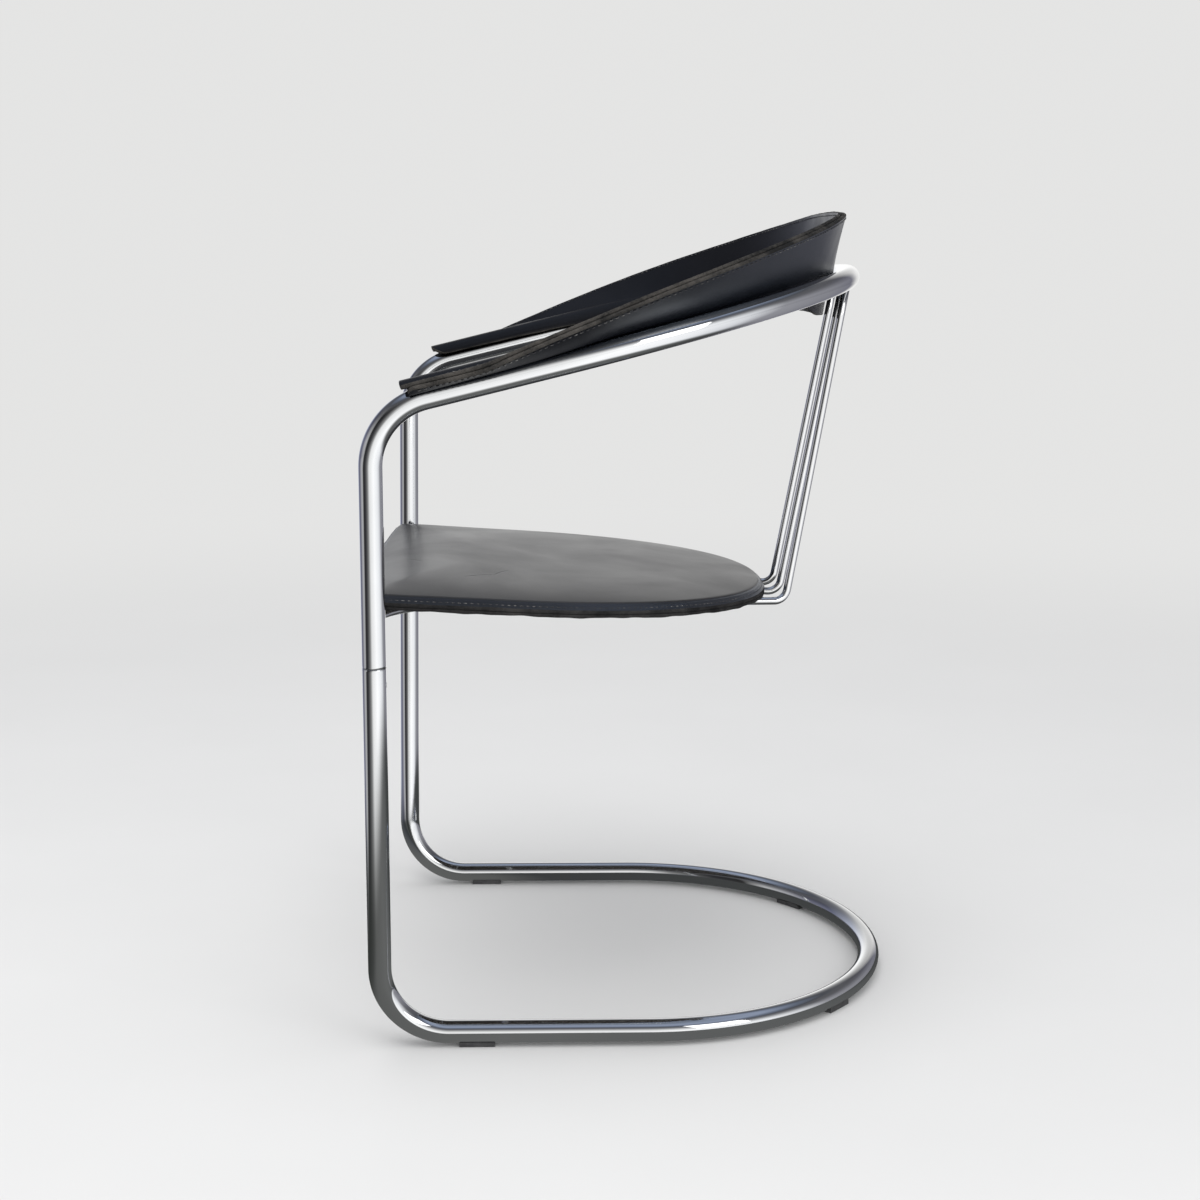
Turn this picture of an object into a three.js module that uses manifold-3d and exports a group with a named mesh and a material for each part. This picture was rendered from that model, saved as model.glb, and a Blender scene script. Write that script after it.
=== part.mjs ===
// Cantilever lounge chair: a tube base, a tube arm frame, three carrier rods,
// a padded saddle leather seat and a two-ply saddle leather back.
// Millimetres, +Z up. The sitter faces -Y, and the floor is z = 0.
import * as THREE from "three";
import { mergeVertices } from "three/addons/utils/BufferGeometryUtils.js";
import Module from "manifold-3d";

const wasm = await Module();
wasm.setup();

// Frame tube
const tubeDiameter = 22;
const tubeWall = 2;

// Base: a floor loop whose two ends rise as the lower legs
const baseWidth = 500;
const baseRun = 257;
const footBendRadius = 66;
const seamHeight = 363.5;

// Arm frame: the upper legs bend back into arms that meet in a rear curve
const legHeight = 599;
const legLean = 0.6;
const armsWidth = 620;
const armRun = 173;
const armSlope = THREE.MathUtils.degToRad(14.15);
const armBendRadius = 65;

// Spigots that join the legs at the seams, each with a set screw
const spigotLength = 70;
const spigotWall = 2;
const setScrewDiameter = 5.4;
const setScrewDrop = 17;
const setScrewSocket = 2.6;
const setScrewSocketDepth = 1.4;

// Carrier rods under the seat
const rodDiameter = 8;
const rodSpreadBelow = 56;
const rodSpreadAbove = 42;
const rodFrontHeight = 418.7;
const rodFrontInset = 90;
const rodFrontBendRadius = 125;
const rodRearSetback = 405;
const rodRearBendRadius = 14;
const crossRodSetback = 115;

// Seat, in its own raked frame: z = 0 is its underside, y = 0 the line of its front corners
const seatRake = THREE.MathUtils.degToRad(3);
const seatLead = 14;
const seatFrontHalfWidth = 250;
const seatHalfWidth = 246;
const seatSideRun = 124;
const seatRearRun = 278;
const seatRearFullness = 2.22;
const seatFrontBow = 7;
const seatCornerRadius = 20;
const seatRimHeight = 13;
const seatCrown = 9;
const hemWidth = 6;
const hemSeamWidth = 4;
const seatLeather = 3;
const boardThickness = 4;

// Clips and screws that hold the seat to the rods
const clipThickness = 1.5;
const clipWidth = 14;
const clipEar = 10;
const clipScrewShank = 3;
const clipScrewHead = 6.4;
const clipScrewHeadHeight = 2.2;
const clipScrewBite = 3;
const clipSetbacks = [165, 310];

// Back: two leather plies sewn along their upper edge
const backLeather = 4;
const tipSetback = 32;
const edgeHeightAtTip = 13.6;
const edgeHeightAtRear = 66;
const edgeReachAtTip = 16.9;
const edgeReachAtMiddle = 33;
const edgeReachAtRear = -1.4;
const standoffAtRear = 4.5;
const liningDropAtRear = 30;
const liningLeanAtRear = 36;
const mouthSetback = 6;

// Screws that fix the outer ply to the inside of the arm tube, with spacers where it stands off
const backScrewShank = 3;
const backScrewHead = 7;
const backScrewHeadHeight = 0.9;
const backScrewBite = 4;
const backScrewAngle = THREE.MathUtils.degToRad(8);
const backScrewStations = [3, 8, 14];
const backSpacerDiameter = 9;
const backSpacerEase = 0.9;
const backSpacerShortest = 2;

// Floor glides under the base tube
const glideHeight = 2;
const glideLength = 34;
const glideWidth = 15;
const glideWrap = 3.5;
const glidePeg = 5;
const glidePegRise = 4;
const glideFrontSetback = 92;
const glideRearAngle = THREE.MathUtils.degToRad(50);

// Fits
const gap = 0.3;
const plyClearance = 0.5;
const holeClearance = 0.3;
const overrun = 5;

// Resolution of the curved forms
const tubeSides = 16;
const rodSides = 10;
const smallSides = 12;
const bendSteps = 7;
const rearCurveSteps = 14;
const rodBendSteps = 4;
const rodFrontBendSteps = 7;
const armStraightSteps = 5;
const wrapSteps = 6;
const seatCurveSteps = 14;

// Sizes that follow from the ones above
const tubeRadius = tubeDiameter / 2;
const rodRadius = rodDiameter / 2;
const baseHeight = glideHeight + tubeRadius;
const rearCurveRadius = baseWidth / 2;
const legLine = (seatLead + seatFrontBow - baseRun - rearCurveRadius - tubeRadius) / 2;
const footCorner = new THREE.Vector3(baseWidth / 2, legLine, baseHeight);
const armCorner = new THREE.Vector3(armsWidth / 2, legLine - legLean, baseHeight + legHeight);
const legDirection = armCorner.clone().sub(footCorner).normalize();
const armDirection = new THREE.Vector3(0, Math.cos(armSlope), Math.sin(armSlope));
const armUp = new THREE.Vector3(0, -Math.sin(armSlope), Math.cos(armSlope));
const sideways = new THREE.Vector3(1, 0, 0);

const chrome = new THREE.MeshStandardMaterial({ color: 0xd9dcdf, roughness: 0.08, metalness: 1 });
const steel = new THREE.MeshStandardMaterial({ color: 0xa9adb2, roughness: 0.3, metalness: 1 });
const leather = new THREE.MeshStandardMaterial({ color: 0x1d1e22, roughness: 0.45, metalness: 0 });
const rawLeather = new THREE.MeshStandardMaterial({ color: 0x3a332c, roughness: 0.8, metalness: 0 });
const plywood = new THREE.MeshStandardMaterial({ color: 0xb08a5e, roughness: 0.7, metalness: 0 });
const foam = new THREE.MeshStandardMaterial({ color: 0xc9c3a6, roughness: 0.95, metalness: 0 });
const blackPlastic = new THREE.MeshStandardMaterial({ color: 0x17181a, roughness: 0.5, metalness: 0 });

const chair = new THREE.Group();
chair.name = "cantilever_lounge_chair";

// A closed geometry as a solid that can be joined and cut
function toSolid(geometry) {
  const bare = geometry.clone();
  bare.deleteAttribute("normal");
  bare.deleteAttribute("uv");
  const merged = mergeVertices(bare);
  return new wasm.Manifold(
    new wasm.Mesh({
      numProp: 3,
      vertProperties: new Float32Array(merged.attributes.position.array),
      triVerts: new Uint32Array(merged.index.array),
    }),
  );
}

// A solid as a geometry again
function toGeometry(solid) {
  const mesh = solid.getMesh();
  const geometry = new THREE.BufferGeometry();
  geometry.setAttribute("position", new THREE.BufferAttribute(new Float32Array(mesh.vertProperties), 3));
  geometry.setIndex(new THREE.BufferAttribute(new Uint32Array(mesh.triVerts), 1));
  const faceted = geometry.toNonIndexed();
  faceted.computeVertexNormals();
  return faceted;
}

function addPiece(parent, name, solid, material) {
  const mesh = new THREE.Mesh(toGeometry(solid), material);
  mesh.name = name;
  parent.add(mesh);
  return mesh;
}

// A curve through given stations, so that a sweep has its rings exactly there
class StationCurve extends THREE.Curve {
  constructor(stations) {
    super();
    this.stations = stations;
  }
  between(u, key, target) {
    const at = u * (this.stations.length - 1);
    const low = Math.min(Math.floor(at), this.stations.length - 2);
    return target.lerpVectors(this.stations[low][key], this.stations[low + 1][key], at - low);
  }
  getPoint(t, target = new THREE.Vector3()) {
    return this.between(t, "point", target);
  }
  getPointAt(u, target = new THREE.Vector3()) {
    return this.between(u, "point", target);
  }
  getTangentAt(u, target = new THREE.Vector3()) {
    return this.between(u, "tangent", target).normalize();
  }
}

// Stations of a route of straight runs, rounded at each inner corner
function roundedRoute(corners, radii, steps) {
  const first = corners[1].clone().sub(corners[0]).normalize();
  const stations = [{ point: corners[0].clone(), tangent: first }];
  for (let i = 1; i < corners.length - 1; i++) {
    const arriving = corners[i].clone().sub(corners[i - 1]).normalize();
    const leaving = corners[i + 1].clone().sub(corners[i]).normalize();
    const turn = arriving.angleTo(leaving);
    const radius = radii[i - 1];
    const start = corners[i].clone().addScaledVector(arriving, -radius * Math.tan(turn / 2));
    const inward = leaving.clone().addScaledVector(arriving, -leaving.dot(arriving)).normalize();
    for (let k = 0; k <= steps[i - 1]; k++) {
      const angle = (turn * k) / steps[i - 1];
      const point = start
        .clone()
        .addScaledVector(arriving, radius * Math.sin(angle))
        .addScaledVector(inward, radius * (1 - Math.cos(angle)));
      const tangent = arriving
        .clone()
        .multiplyScalar(Math.cos(angle))
        .addScaledVector(inward, Math.sin(angle));
      const last = stations[stations.length - 1].point;
      if (last.distanceTo(point) > gap) stations.push({ point, tangent });
    }
  }
  const end = corners[corners.length - 1];
  const final = end.clone().sub(corners[corners.length - 2]).normalize();
  stations.push({ point: end.clone(), tangent: final });
  return stations;
}

// The same stations with both ends moved outwards
function lengthened(stations, length) {
  const longer = stations.map((s) => ({ point: s.point.clone(), tangent: s.tangent }));
  const last = longer[longer.length - 1];
  longer[0].point.addScaledVector(longer[0].tangent, -length);
  last.point.addScaledVector(last.tangent, length);
  return longer;
}

function circleShape(radius, sides) {
  const points = [];
  for (let i = 0; i < sides; i++) {
    const angle = (2 * Math.PI * i) / sides;
    points.push(new THREE.Vector2(radius * Math.cos(angle), radius * Math.sin(angle)));
  }
  return new THREE.Shape(points);
}

function sweptSolid(stations, radius, sides) {
  const geometry = new THREE.ExtrudeGeometry(circleShape(radius, sides), {
    steps: stations.length - 1,
    extrudePath: new StationCurve(stations),
  });
  return toSolid(geometry);
}

function hollowTube(stations, radius, wall, sides) {
  const bore = sweptSolid(lengthened(stations, overrun), radius - wall, sides);
  return sweptSolid(stations, radius, sides).subtract(bore);
}

// A round bar between two points
function barSolid(from, to, radius, sides) {
  const along = to.clone().sub(from);
  const geometry = new THREE.CylinderGeometry(radius, radius, along.length(), sides);
  geometry.translate(0, along.length() / 2, 0);
  const up = new THREE.Vector3(0, 1, 0);
  const turn = new THREE.Quaternion().setFromUnitVectors(up, along.normalize());
  geometry.applyQuaternion(turn);
  geometry.translate(from.x, from.y, from.z);
  return toSolid(geometry);
}

// A pan head screw along its axis: the head's seat is at `seat`, the shank points along `into`
function screwSolid(seat, into, shank, length, head, headHeight) {
  const edge = headHeight / 2;
  const profile = [
    new THREE.Vector2(0, -headHeight),
    new THREE.Vector2(head / 4, -headHeight),
    new THREE.Vector2(head / 2, -edge),
    new THREE.Vector2(head / 2, 0),
    new THREE.Vector2(shank / 2, 0),
    new THREE.Vector2(shank / 2, length),
    new THREE.Vector2(0, length),
  ];
  const geometry = new THREE.LatheGeometry(profile, smallSides);
  const up = new THREE.Vector3(0, 1, 0);
  geometry.applyQuaternion(new THREE.Quaternion().setFromUnitVectors(up, into));
  geometry.translate(seat.x, seat.y, seat.z);
  return toSolid(geometry);
}

function mirroredX(point) {
  return new THREE.Vector3(-point.x, point.y, point.z);
}

// Pieces that come in pairs: +X is the sitter's left
const sides = [
  { name: "left", sign: 1 },
  { name: "right", sign: -1 },
];

function legPoint(height, sign) {
  const point = footCorner.clone().addScaledVector(legDirection, height / legDirection.z);
  return new THREE.Vector3(sign * point.x, point.y, point.z);
}

function armPoint(along, sign) {
  const point = armCorner.clone().addScaledVector(armDirection, along);
  return new THREE.Vector3(sign * point.x, point.y, point.z);
}

const rearArcRadius = armsWidth / 2;
const armFullRun = armRun + rearArcRadius;

// The set screws face the rear
function setScrewAxis(sign) {
  const at = legPoint(seamHeight - setScrewDrop, sign);
  const along = new THREE.Vector3(sign * legDirection.x, legDirection.y, legDirection.z);
  const outward = new THREE.Vector3(0, 1, 0).addScaledVector(along, -along.y).normalize();
  return { at, outward };
}

function glidePlaces() {
  const arcCentre = legLine + baseRun;
  const reach = rearCurveRadius * Math.sin(glideRearAngle);
  const places = [];
  for (const side of sides) {
    const front = new THREE.Vector3(side.sign * rearCurveRadius, legLine + glideFrontSetback, 0);
    const rearX = side.sign * rearCurveRadius * Math.cos(glideRearAngle);
    places.push({ name: `front_${side.name}`, at: front, turn: 0 });
    places.push({
      name: `rear_${side.name}`,
      at: new THREE.Vector3(rearX, arcCentre + reach, 0),
      turn: side.sign * glideRearAngle,
    });
  }
  return places;
}

function baseStations() {
  const rearY = legLine + baseRun + rearCurveRadius;
  const corners = [
    legPoint(seamHeight - gap / 2, 1),
    footCorner,
    new THREE.Vector3(footCorner.x, rearY, baseHeight),
    new THREE.Vector3(-footCorner.x, rearY, baseHeight),
    mirroredX(footCorner),
    legPoint(seamHeight - gap / 2, -1),
  ];
  const radii = [footBendRadius, rearCurveRadius, rearCurveRadius, footBendRadius];
  const steps = [bendSteps, rearCurveSteps, rearCurveSteps, bendSteps];
  return roundedRoute(corners, radii, steps);
}

function buildBaseTube() {
  let tube = hollowTube(baseStations(), tubeRadius, tubeWall, tubeSides);
  for (const side of sides) {
    const axis = setScrewAxis(side.sign);
    const outside = axis.at.clone().addScaledVector(axis.outward, tubeRadius + overrun);
    const holeRadius = setScrewDiameter / 2 + holeClearance;
    tube = tube.subtract(barSolid(axis.at, outside, holeRadius, smallSides));
  }
  for (const place of glidePlaces()) {
    const low = place.at.clone();
    const high = new THREE.Vector3(low.x, low.y, baseHeight);
    tube = tube.subtract(barSolid(low, high, glidePeg / 2 + holeClearance, smallSides));
  }
  addPiece(chair, "base_tube", tube, chrome);
}

function armStations() {
  const corners = [
    legPoint(seamHeight + gap / 2, 1),
    armCorner,
    armPoint(armFullRun, 1),
    armPoint(armFullRun, -1),
    mirroredX(armCorner),
    legPoint(seamHeight + gap / 2, -1),
  ];
  const radii = [armBendRadius, rearArcRadius, rearArcRadius, armBendRadius];
  const steps = [bendSteps, rearCurveSteps, rearCurveSteps, bendSteps];
  return roundedRoute(corners, radii, steps);
}

function buildArmTube(screwAxes) {
  let tube = hollowTube(armStations(), tubeRadius, tubeWall, tubeSides);
  for (const axis of screwAxes) {
    const start = axis.seat.clone();
    const depth = axis.standoff + backLeather + backScrewBite + overrun;
    const end = start.clone().addScaledVector(axis.into, depth);
    tube = tube.subtract(barSolid(start, end, backScrewShank / 2 + holeClearance, smallSides));
  }
  addPiece(chair, "arm_tube", tube, chrome);
}

function buildSpigots() {
  const spigotRadius = tubeRadius - tubeWall - gap;
  for (const side of sides) {
    const low = legPoint(seamHeight - spigotLength / 2, side.sign);
    const high = legPoint(seamHeight + spigotLength / 2, side.sign);
    const stations = roundedRoute([low, high], [], []);
    const spigot = hollowTube(stations, spigotRadius, spigotWall, smallSides);
    addPiece(chair, `leg_spigot_${side.name}`, spigot, steel);

    const axis = setScrewAxis(side.sign);
    const inner = axis.at.clone().addScaledVector(axis.outward, spigotRadius + gap);
    const outer = axis.at.clone().addScaledVector(axis.outward, tubeRadius);
    const socketEnd = outer.clone().addScaledVector(axis.outward, -setScrewSocketDepth);
    const beyond = outer.clone().addScaledVector(axis.outward, overrun);
    const socket = barSolid(socketEnd, beyond, setScrewSocket / 2, 6);
    const screw = barSolid(inner, outer, setScrewDiameter / 2, smallSides).subtract(socket);
    addPiece(chair, `leg_set_screw_${side.name}`, screw, steel);
  }
}

// Height of the carrier rods' centres, which lie in the seat's raked plane
function rodHeight(y) {
  return rodFrontHeight - (y - legLine) * Math.tan(seatRake);
}

// Centre of the arm tube in its rear curve, at a given X
function rearArcPoint(x) {
  const along = armRun + Math.sqrt(rearArcRadius * rearArcRadius - x * x);
  const point = armPoint(along, 1);
  point.x = x;
  return point;
}

// Where a side rod starts, in the middle of a leg
function rodStart(sign) {
  return legPoint(rodFrontHeight - baseHeight, sign);
}

// Where a side rod turns from running inwards to running rearwards under the seat
function rodFrontCorner(sign) {
  const corner = rodStart(sign);
  corner.x -= sign * rodFrontInset;
  return corner;
}

// Where a rod turns up behind the seat
function rodCorner(x) {
  const y = legLine + rodRearSetback;
  return new THREE.Vector3(x, y, rodHeight(y));
}

// Point of a side rod's long run, at a given distance behind the leg line
function sideRodPoint(setback, sign) {
  const front = rodFrontCorner(sign);
  const rear = rodCorner(sign * rodSpreadBelow);
  return front.lerp(rear, setback / rodRearSetback);
}

// Each rod is cut to fit what it is welded to, with a gap left round it
function buildRods() {
  const armSpace = sweptSolid(armStations(), tubeRadius + gap, tubeSides);
  const crossSpaces = [];
  for (const side of sides) {
    const front = rodFrontCorner(side.sign);
    const corner = rodCorner(side.sign * rodSpreadBelow);
    const corners = [rodStart(side.sign), front, corner, rearArcPoint(side.sign * rodSpreadAbove)];
    const radii = [rodFrontBendRadius, rodRearBendRadius];
    const route = roundedRoute(corners, radii, [rodFrontBendSteps, rodBendSteps]);
    const rod = sweptSolid(route, rodRadius, rodSides).subtract(armSpace);
    addPiece(chair, `seat_rod_${side.name}`, rod, chrome);
    crossSpaces.push(barSolid(front, corner, rodRadius + gap, rodSides));
  }

  const crossFrom = sideRodPoint(crossRodSetback, 1);
  const crossTo = sideRodPoint(crossRodSetback, -1);
  let cross = barSolid(crossFrom, crossTo, rodRadius, rodSides);
  for (const space of crossSpaces) cross = cross.subtract(space);
  addPiece(chair, "seat_cross_rod", cross, chrome);

  const crossMiddle = crossFrom.clone().lerp(crossTo, 0.5);
  const corner = rodCorner(0);
  const route = roundedRoute([crossMiddle, corner, rearArcPoint(0)], [rodRearBendRadius], [rodBendSteps]);
  const centre = sweptSolid(route, rodRadius, rodSides)
    .subtract(armSpace)
    .subtract(barSolid(crossFrom, crossTo, rodRadius + gap, rodSides));
  addPiece(chair, "seat_rod_centre", centre, chrome);
}

// The seat's group sits on the rods: its own z = 0 is a gap above their tops
const seatGroup = new THREE.Group();
const seatFrontY = legLine - seatLead;
seatGroup.position.set(0, seatFrontY, rodHeight(seatFrontY) + (rodRadius + gap) / Math.cos(seatRake));
seatGroup.rotation.x = -seatRake;
chair.add(seatGroup);

// Right half of the seat's outline at its rim, from the middle of the front to the middle of the rear
function seatHalfOutline() {
  const bowRadius = (seatFrontHalfWidth ** 2 + seatFrontBow ** 2) / (2 * seatFrontBow);
  const bowAngle = Math.asin(seatFrontHalfWidth / bowRadius);
  const points = [];
  const frontSteps = seatCurveSteps / 2;
  const cornerShare = 1 - seatCornerRadius / seatFrontHalfWidth;
  for (let i = 0; i < frontSteps; i++) {
    const angle = (bowAngle * cornerShare * i) / (frontSteps - 1);
    points.push([bowRadius * Math.sin(angle), bowRadius * (1 - Math.cos(angle)) - seatFrontBow]);
  }
  const from = points[points.length - 1];
  const corner = new THREE.QuadraticBezierCurve(
    new THREE.Vector2(from[0], from[1]),
    new THREE.Vector2(seatFrontHalfWidth, 0),
    new THREE.Vector2(seatFrontHalfWidth, seatCornerRadius),
  );
  for (const p of corner.getPoints(rodBendSteps).slice(1)) points.push([p.x, p.y]);
  const power = 2 / seatRearFullness;
  for (let i = 0; i <= seatCurveSteps; i++) {
    const angle = ((Math.PI / 2) * i) / seatCurveSteps;
    points.push([
      seatHalfWidth * Math.cos(angle) ** power,
      seatSideRun + seatRearRun * Math.sin(angle) ** power,
    ]);
  }
  points[points.length - 1][0] = 0;
  return points;
}

// Whole outline, moved inwards by `inset` along its normals
function seatOutline(inset) {
  const half = seatHalfOutline();
  const mirrored = half.slice(1, -1).reverse();
  const loop = [...half, ...mirrored.map(([x, y]) => [-x, y])];
  return loop.map(([x, y], i) => {
    const before = loop[(i + loop.length - 1) % loop.length];
    const after = loop[(i + 1) % loop.length];
    const normal = new THREE.Vector2(after[1] - before[1], before[0] - after[0]).normalize();
    return new THREE.Vector2(x - inset * normal.x, y - inset * normal.y);
  });
}

// A flat plate of the seat's outline
function seatPlate(inset, bottom, thickness) {
  const geometry = new THREE.ExtrudeGeometry(new THREE.Shape(seatOutline(inset)), {
    depth: thickness,
    bevelEnabled: false,
  });
  geometry.translate(0, 0, bottom);
  return toSolid(geometry);
}

// A solid from closed rings, one inside or above the next, closed by a fan at each end
function ringSolid(rings, firstCentre, lastCentre) {
  const count = rings[0].length;
  const positions = [];
  for (const ring of rings) for (const p of ring) positions.push(p.x, p.y, p.z);
  const firstAt = positions.length / 3;
  positions.push(firstCentre.x, firstCentre.y, firstCentre.z);
  positions.push(lastCentre.x, lastCentre.y, lastCentre.z);
  const lastAt = firstAt + 1;
  const index = [];
  for (let i = 0; i < count; i++) {
    const next = (i + 1) % count;
    index.push(firstAt, i, next);
    for (let r = 0; r < rings.length - 1; r++) {
      const a = r * count + i;
      const b = r * count + next;
      index.push(a, a + count, b);
      index.push(b, a + count, b + count);
    }
    const end = (rings.length - 1) * count;
    index.push(lastAt, end + next, end + i);
  }
  const geometry = new THREE.BufferGeometry();
  geometry.setAttribute("position", new THREE.Float32BufferAttribute(positions, 3));
  geometry.setIndex(index);
  return toSolid(geometry);
}

const seatMiddle = seatSideRun;
const crownShares = [0.3, 0.55, 0.75, 0.88, 0.96];
const crownFullness = 4;

// Rings of the domed top, from the middle outwards, `drop` below the leather's outer face
function crownRings(inset, drop) {
  return crownShares.map((share) =>
    seatOutline(inset).map((p) => {
      const height = seatRimHeight + seatCrown * (1 - share ** crownFullness) - drop;
      return new THREE.Vector3(p.x * share, seatMiddle + (p.y - seatMiddle) * share, height);
    }),
  );
}

function levelRing(inset, height) {
  return seatOutline(inset).map((p) => new THREE.Vector3(p.x, p.y, height));
}

function crownTop(drop) {
  return new THREE.Vector3(0, seatMiddle, seatRimHeight + seatCrown - drop);
}

// Top leather: domed, creased at the rim and turned down into the sewn hem
const coverInset = hemWidth + seatLeather;
function buildSeatCover() {
  const hemBottom = seatLeather + gap;
  const hemTop = hemBottom + seatLeather;
  const rings = [
    ...crownRings(hemWidth, 0),
    levelRing(hemWidth, seatRimHeight),
    levelRing(0, hemTop),
    levelRing(0, hemBottom),
    levelRing(hemSeamWidth, hemBottom),
    levelRing(coverInset, seatRimHeight - seatLeather),
    ...crownRings(coverInset, seatLeather).reverse(),
  ];
  const cover = ringSolid(rings, crownTop(0), crownTop(seatLeather));
  addPiece(seatGroup, "seat_cover_leather", cover, leather);
}

// Foam pad between the board and the cover
function buildSeatPad() {
  const bottom = seatLeather + gap + boardThickness + gap;
  const drop = seatLeather + gap;
  const inset = coverInset + gap;
  const rings = [
    ...crownRings(inset, drop),
    levelRing(inset, seatRimHeight - drop),
    levelRing(inset, bottom),
  ];
  const low = new THREE.Vector3(0, seatMiddle, bottom);
  addPiece(seatGroup, "seat_pad", ringSolid(rings, crownTop(drop), low), foam);
}

// Clip places on the side rods, in the world frame, with the rods' direction
function clipPlaces() {
  const places = [];
  for (const side of sides) {
    clipSetbacks.forEach((setback, i) => {
      const at = sideRodPoint(setback, side.sign);
      const rear = rodCorner(side.sign * rodSpreadBelow);
      const along = rear.sub(rodFrontCorner(side.sign)).normalize();
      places.push({ name: `${side.name}_${i + 1}`, at, along });
    });
  }
  return places;
}

// Frame at a clip: x across the rod, y up to the seat, z along the rod
function clipFrame(place) {
  const up = new THREE.Vector3(0, Math.sin(seatRake), Math.cos(seatRake));
  const across = new THREE.Vector3().crossVectors(up, place.along).normalize();
  const frame = new THREE.Matrix4().makeBasis(across, up, place.along);
  frame.setPosition(place.at);
  return frame;
}

const clipInner = rodRadius + gap;
const clipOuter = clipInner + clipThickness;
const clipTop = rodRadius;
const clipScrewOffset = clipOuter + clipEar / 2;

// Saddle clip: an omega strip round the underside of a rod
function buildClips() {
  const width = clipOuter + clipEar;
  const ear = clipTop - clipThickness;
  for (const place of clipPlaces()) {
    const shape = new THREE.Shape();
    shape.moveTo(-width, clipTop);
    shape.lineTo(-clipInner, clipTop);
    shape.lineTo(-clipInner, 0);
    shape.absarc(0, 0, clipInner, Math.PI, 2 * Math.PI, false);
    shape.lineTo(clipInner, clipTop);
    shape.lineTo(width, clipTop);
    shape.lineTo(width, ear);
    shape.lineTo(clipOuter, ear);
    shape.lineTo(clipOuter, 0);
    shape.absarc(0, 0, clipOuter, 2 * Math.PI, Math.PI, true);
    shape.lineTo(-clipOuter, ear);
    shape.lineTo(-width, ear);
    const geometry = new THREE.ExtrudeGeometry(shape, {
      depth: clipWidth,
      bevelEnabled: false,
      curveSegments: rodSides,
    });
    geometry.translate(0, 0, -clipWidth / 2);
    geometry.applyMatrix4(clipFrame(place));
    let clip = toSolid(geometry);
    for (const axis of clipScrewAxes(place)) clip = clip.subtract(screwHole(axis));
    addPiece(chair, `seat_clip_${place.name}`, clip, steel);
  }
}

function clipScrewAxes(place) {
  const frame = clipFrame(place);
  const into = new THREE.Vector3(0, Math.sin(seatRake), Math.cos(seatRake));
  return [-1, 1].map((sign) => {
    const seat = new THREE.Vector3(sign * clipScrewOffset, clipTop - clipThickness - gap, 0);
    return { seat: seat.applyMatrix4(frame), into };
  });
}

const clipScrewLength = clipThickness + 2 * gap + seatLeather + gap + clipScrewBite;

function screwHole(axis) {
  const start = axis.seat.clone().addScaledVector(axis.into, -overrun);
  const end = axis.seat.clone().addScaledVector(axis.into, clipScrewLength + gap);
  return barSolid(start, end, clipScrewShank / 2 + holeClearance, smallSides);
}

function buildClipScrews() {
  for (const place of clipPlaces()) {
    clipScrewAxes(place).forEach((axis, i) => {
      const screw = screwSolid(
        axis.seat,
        axis.into,
        clipScrewShank,
        clipScrewLength,
        clipScrewHead,
        clipScrewHeadHeight,
      );
      addPiece(chair, `seat_screw_${place.name}_${"ab"[i]}`, screw, steel);
    });
  }
}

// Bottom leather and board, drilled for the clip screws
function buildSeatBase() {
  const toSeat = new THREE.Matrix4().copy(seatGroup.matrix).invert();
  let bottom = seatPlate(0, 0, seatLeather);
  let board = seatPlate(coverInset, seatLeather + gap, boardThickness);
  for (const place of clipPlaces()) {
    for (const axis of clipScrewAxes(place)) {
      const local = {
        seat: axis.seat.clone().applyMatrix4(toSeat),
        into: new THREE.Vector3(0, 0, 1),
      };
      const hole = screwHole(local);
      bottom = bottom.subtract(hole);
      board = board.subtract(hole);
    }
  }
  addPiece(seatGroup, "seat_bottom_leather", bottom, rawLeather);
  addPiece(seatGroup, "seat_board", board, plywood);
}

// Value at `share` from a table of [share, value], straight between its rows
function tableValue(table, share) {
  for (let i = 1; i < table.length; i++) {
    const [s0, v0] = table[i - 1];
    const [s1, v1] = table[i];
    if (share <= s1) return THREE.MathUtils.lerp(v0, v1, (share - s0) / (s1 - s0));
  }
  return table[table.length - 1][1];
}

// How far the sewn edge has climbed, by share of the way from the tip to the rear middle
const edgeRiseShares = [
  [0, 0],
  [0.12, 0.01],
  [0.16, 0.09],
  [0.2, 0.17],
  [0.28, 0.33],
  [0.38, 0.51],
  [0.5, 0.675],
  [0.62, 0.8],
  [0.74, 0.9],
  [0.85, 0.965],
  [1, 1],
];
const reachShares = [
  [0, 0],
  [0.13, 0.66],
  [0.25, 0.73],
  [0.38, 0.94],
  [0.45, 1],
  [0.51, 1],
  [0.67, 0.805],
  [0.82, 0.46],
  [1, 0],
];
const wrapShares = [
  [0, 0],
  [0.13, 0.07],
  [0.2, 0.13],
  [0.26, 0.25],
  [0.33, 0.48],
  [0.45, 0.65],
  [0.7, 0.88],
  [1, 1],
];
const standoffShares = [
  [0, 0],
  [0.4, 0],
  [0.75, 0.7],
  [1, 1],
];
const dropShares = [
  [0, 0],
  [0.35, 0.03],
  [0.6, 0.1],
  [0.7, 0.2],
  [0.76, 0.55],
  [0.84, 0.85],
  [1, 1],
];

// Cross-section frame of the arm tube at a share of the way from the tip to the rear middle
const backHalfLength = armRun - tipSetback + (rearArcRadius * Math.PI) / 2;
function backFrame(share) {
  const along = tipSetback + backHalfLength * Math.min(share, 1);
  if (along < armRun) {
    return { centre: armPoint(along, 1), outward: sideways.clone(), up: armUp };
  }
  const angle = (along - armRun) / rearArcRadius;
  const centre = armPoint(armRun + rearArcRadius * Math.sin(angle), 1);
  centre.x = rearArcRadius * Math.cos(angle);
  const outward = sideways.clone().multiplyScalar(Math.cos(angle));
  outward.addScaledVector(armDirection, Math.sin(angle));
  return { centre, outward, up: armUp };
}

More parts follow.
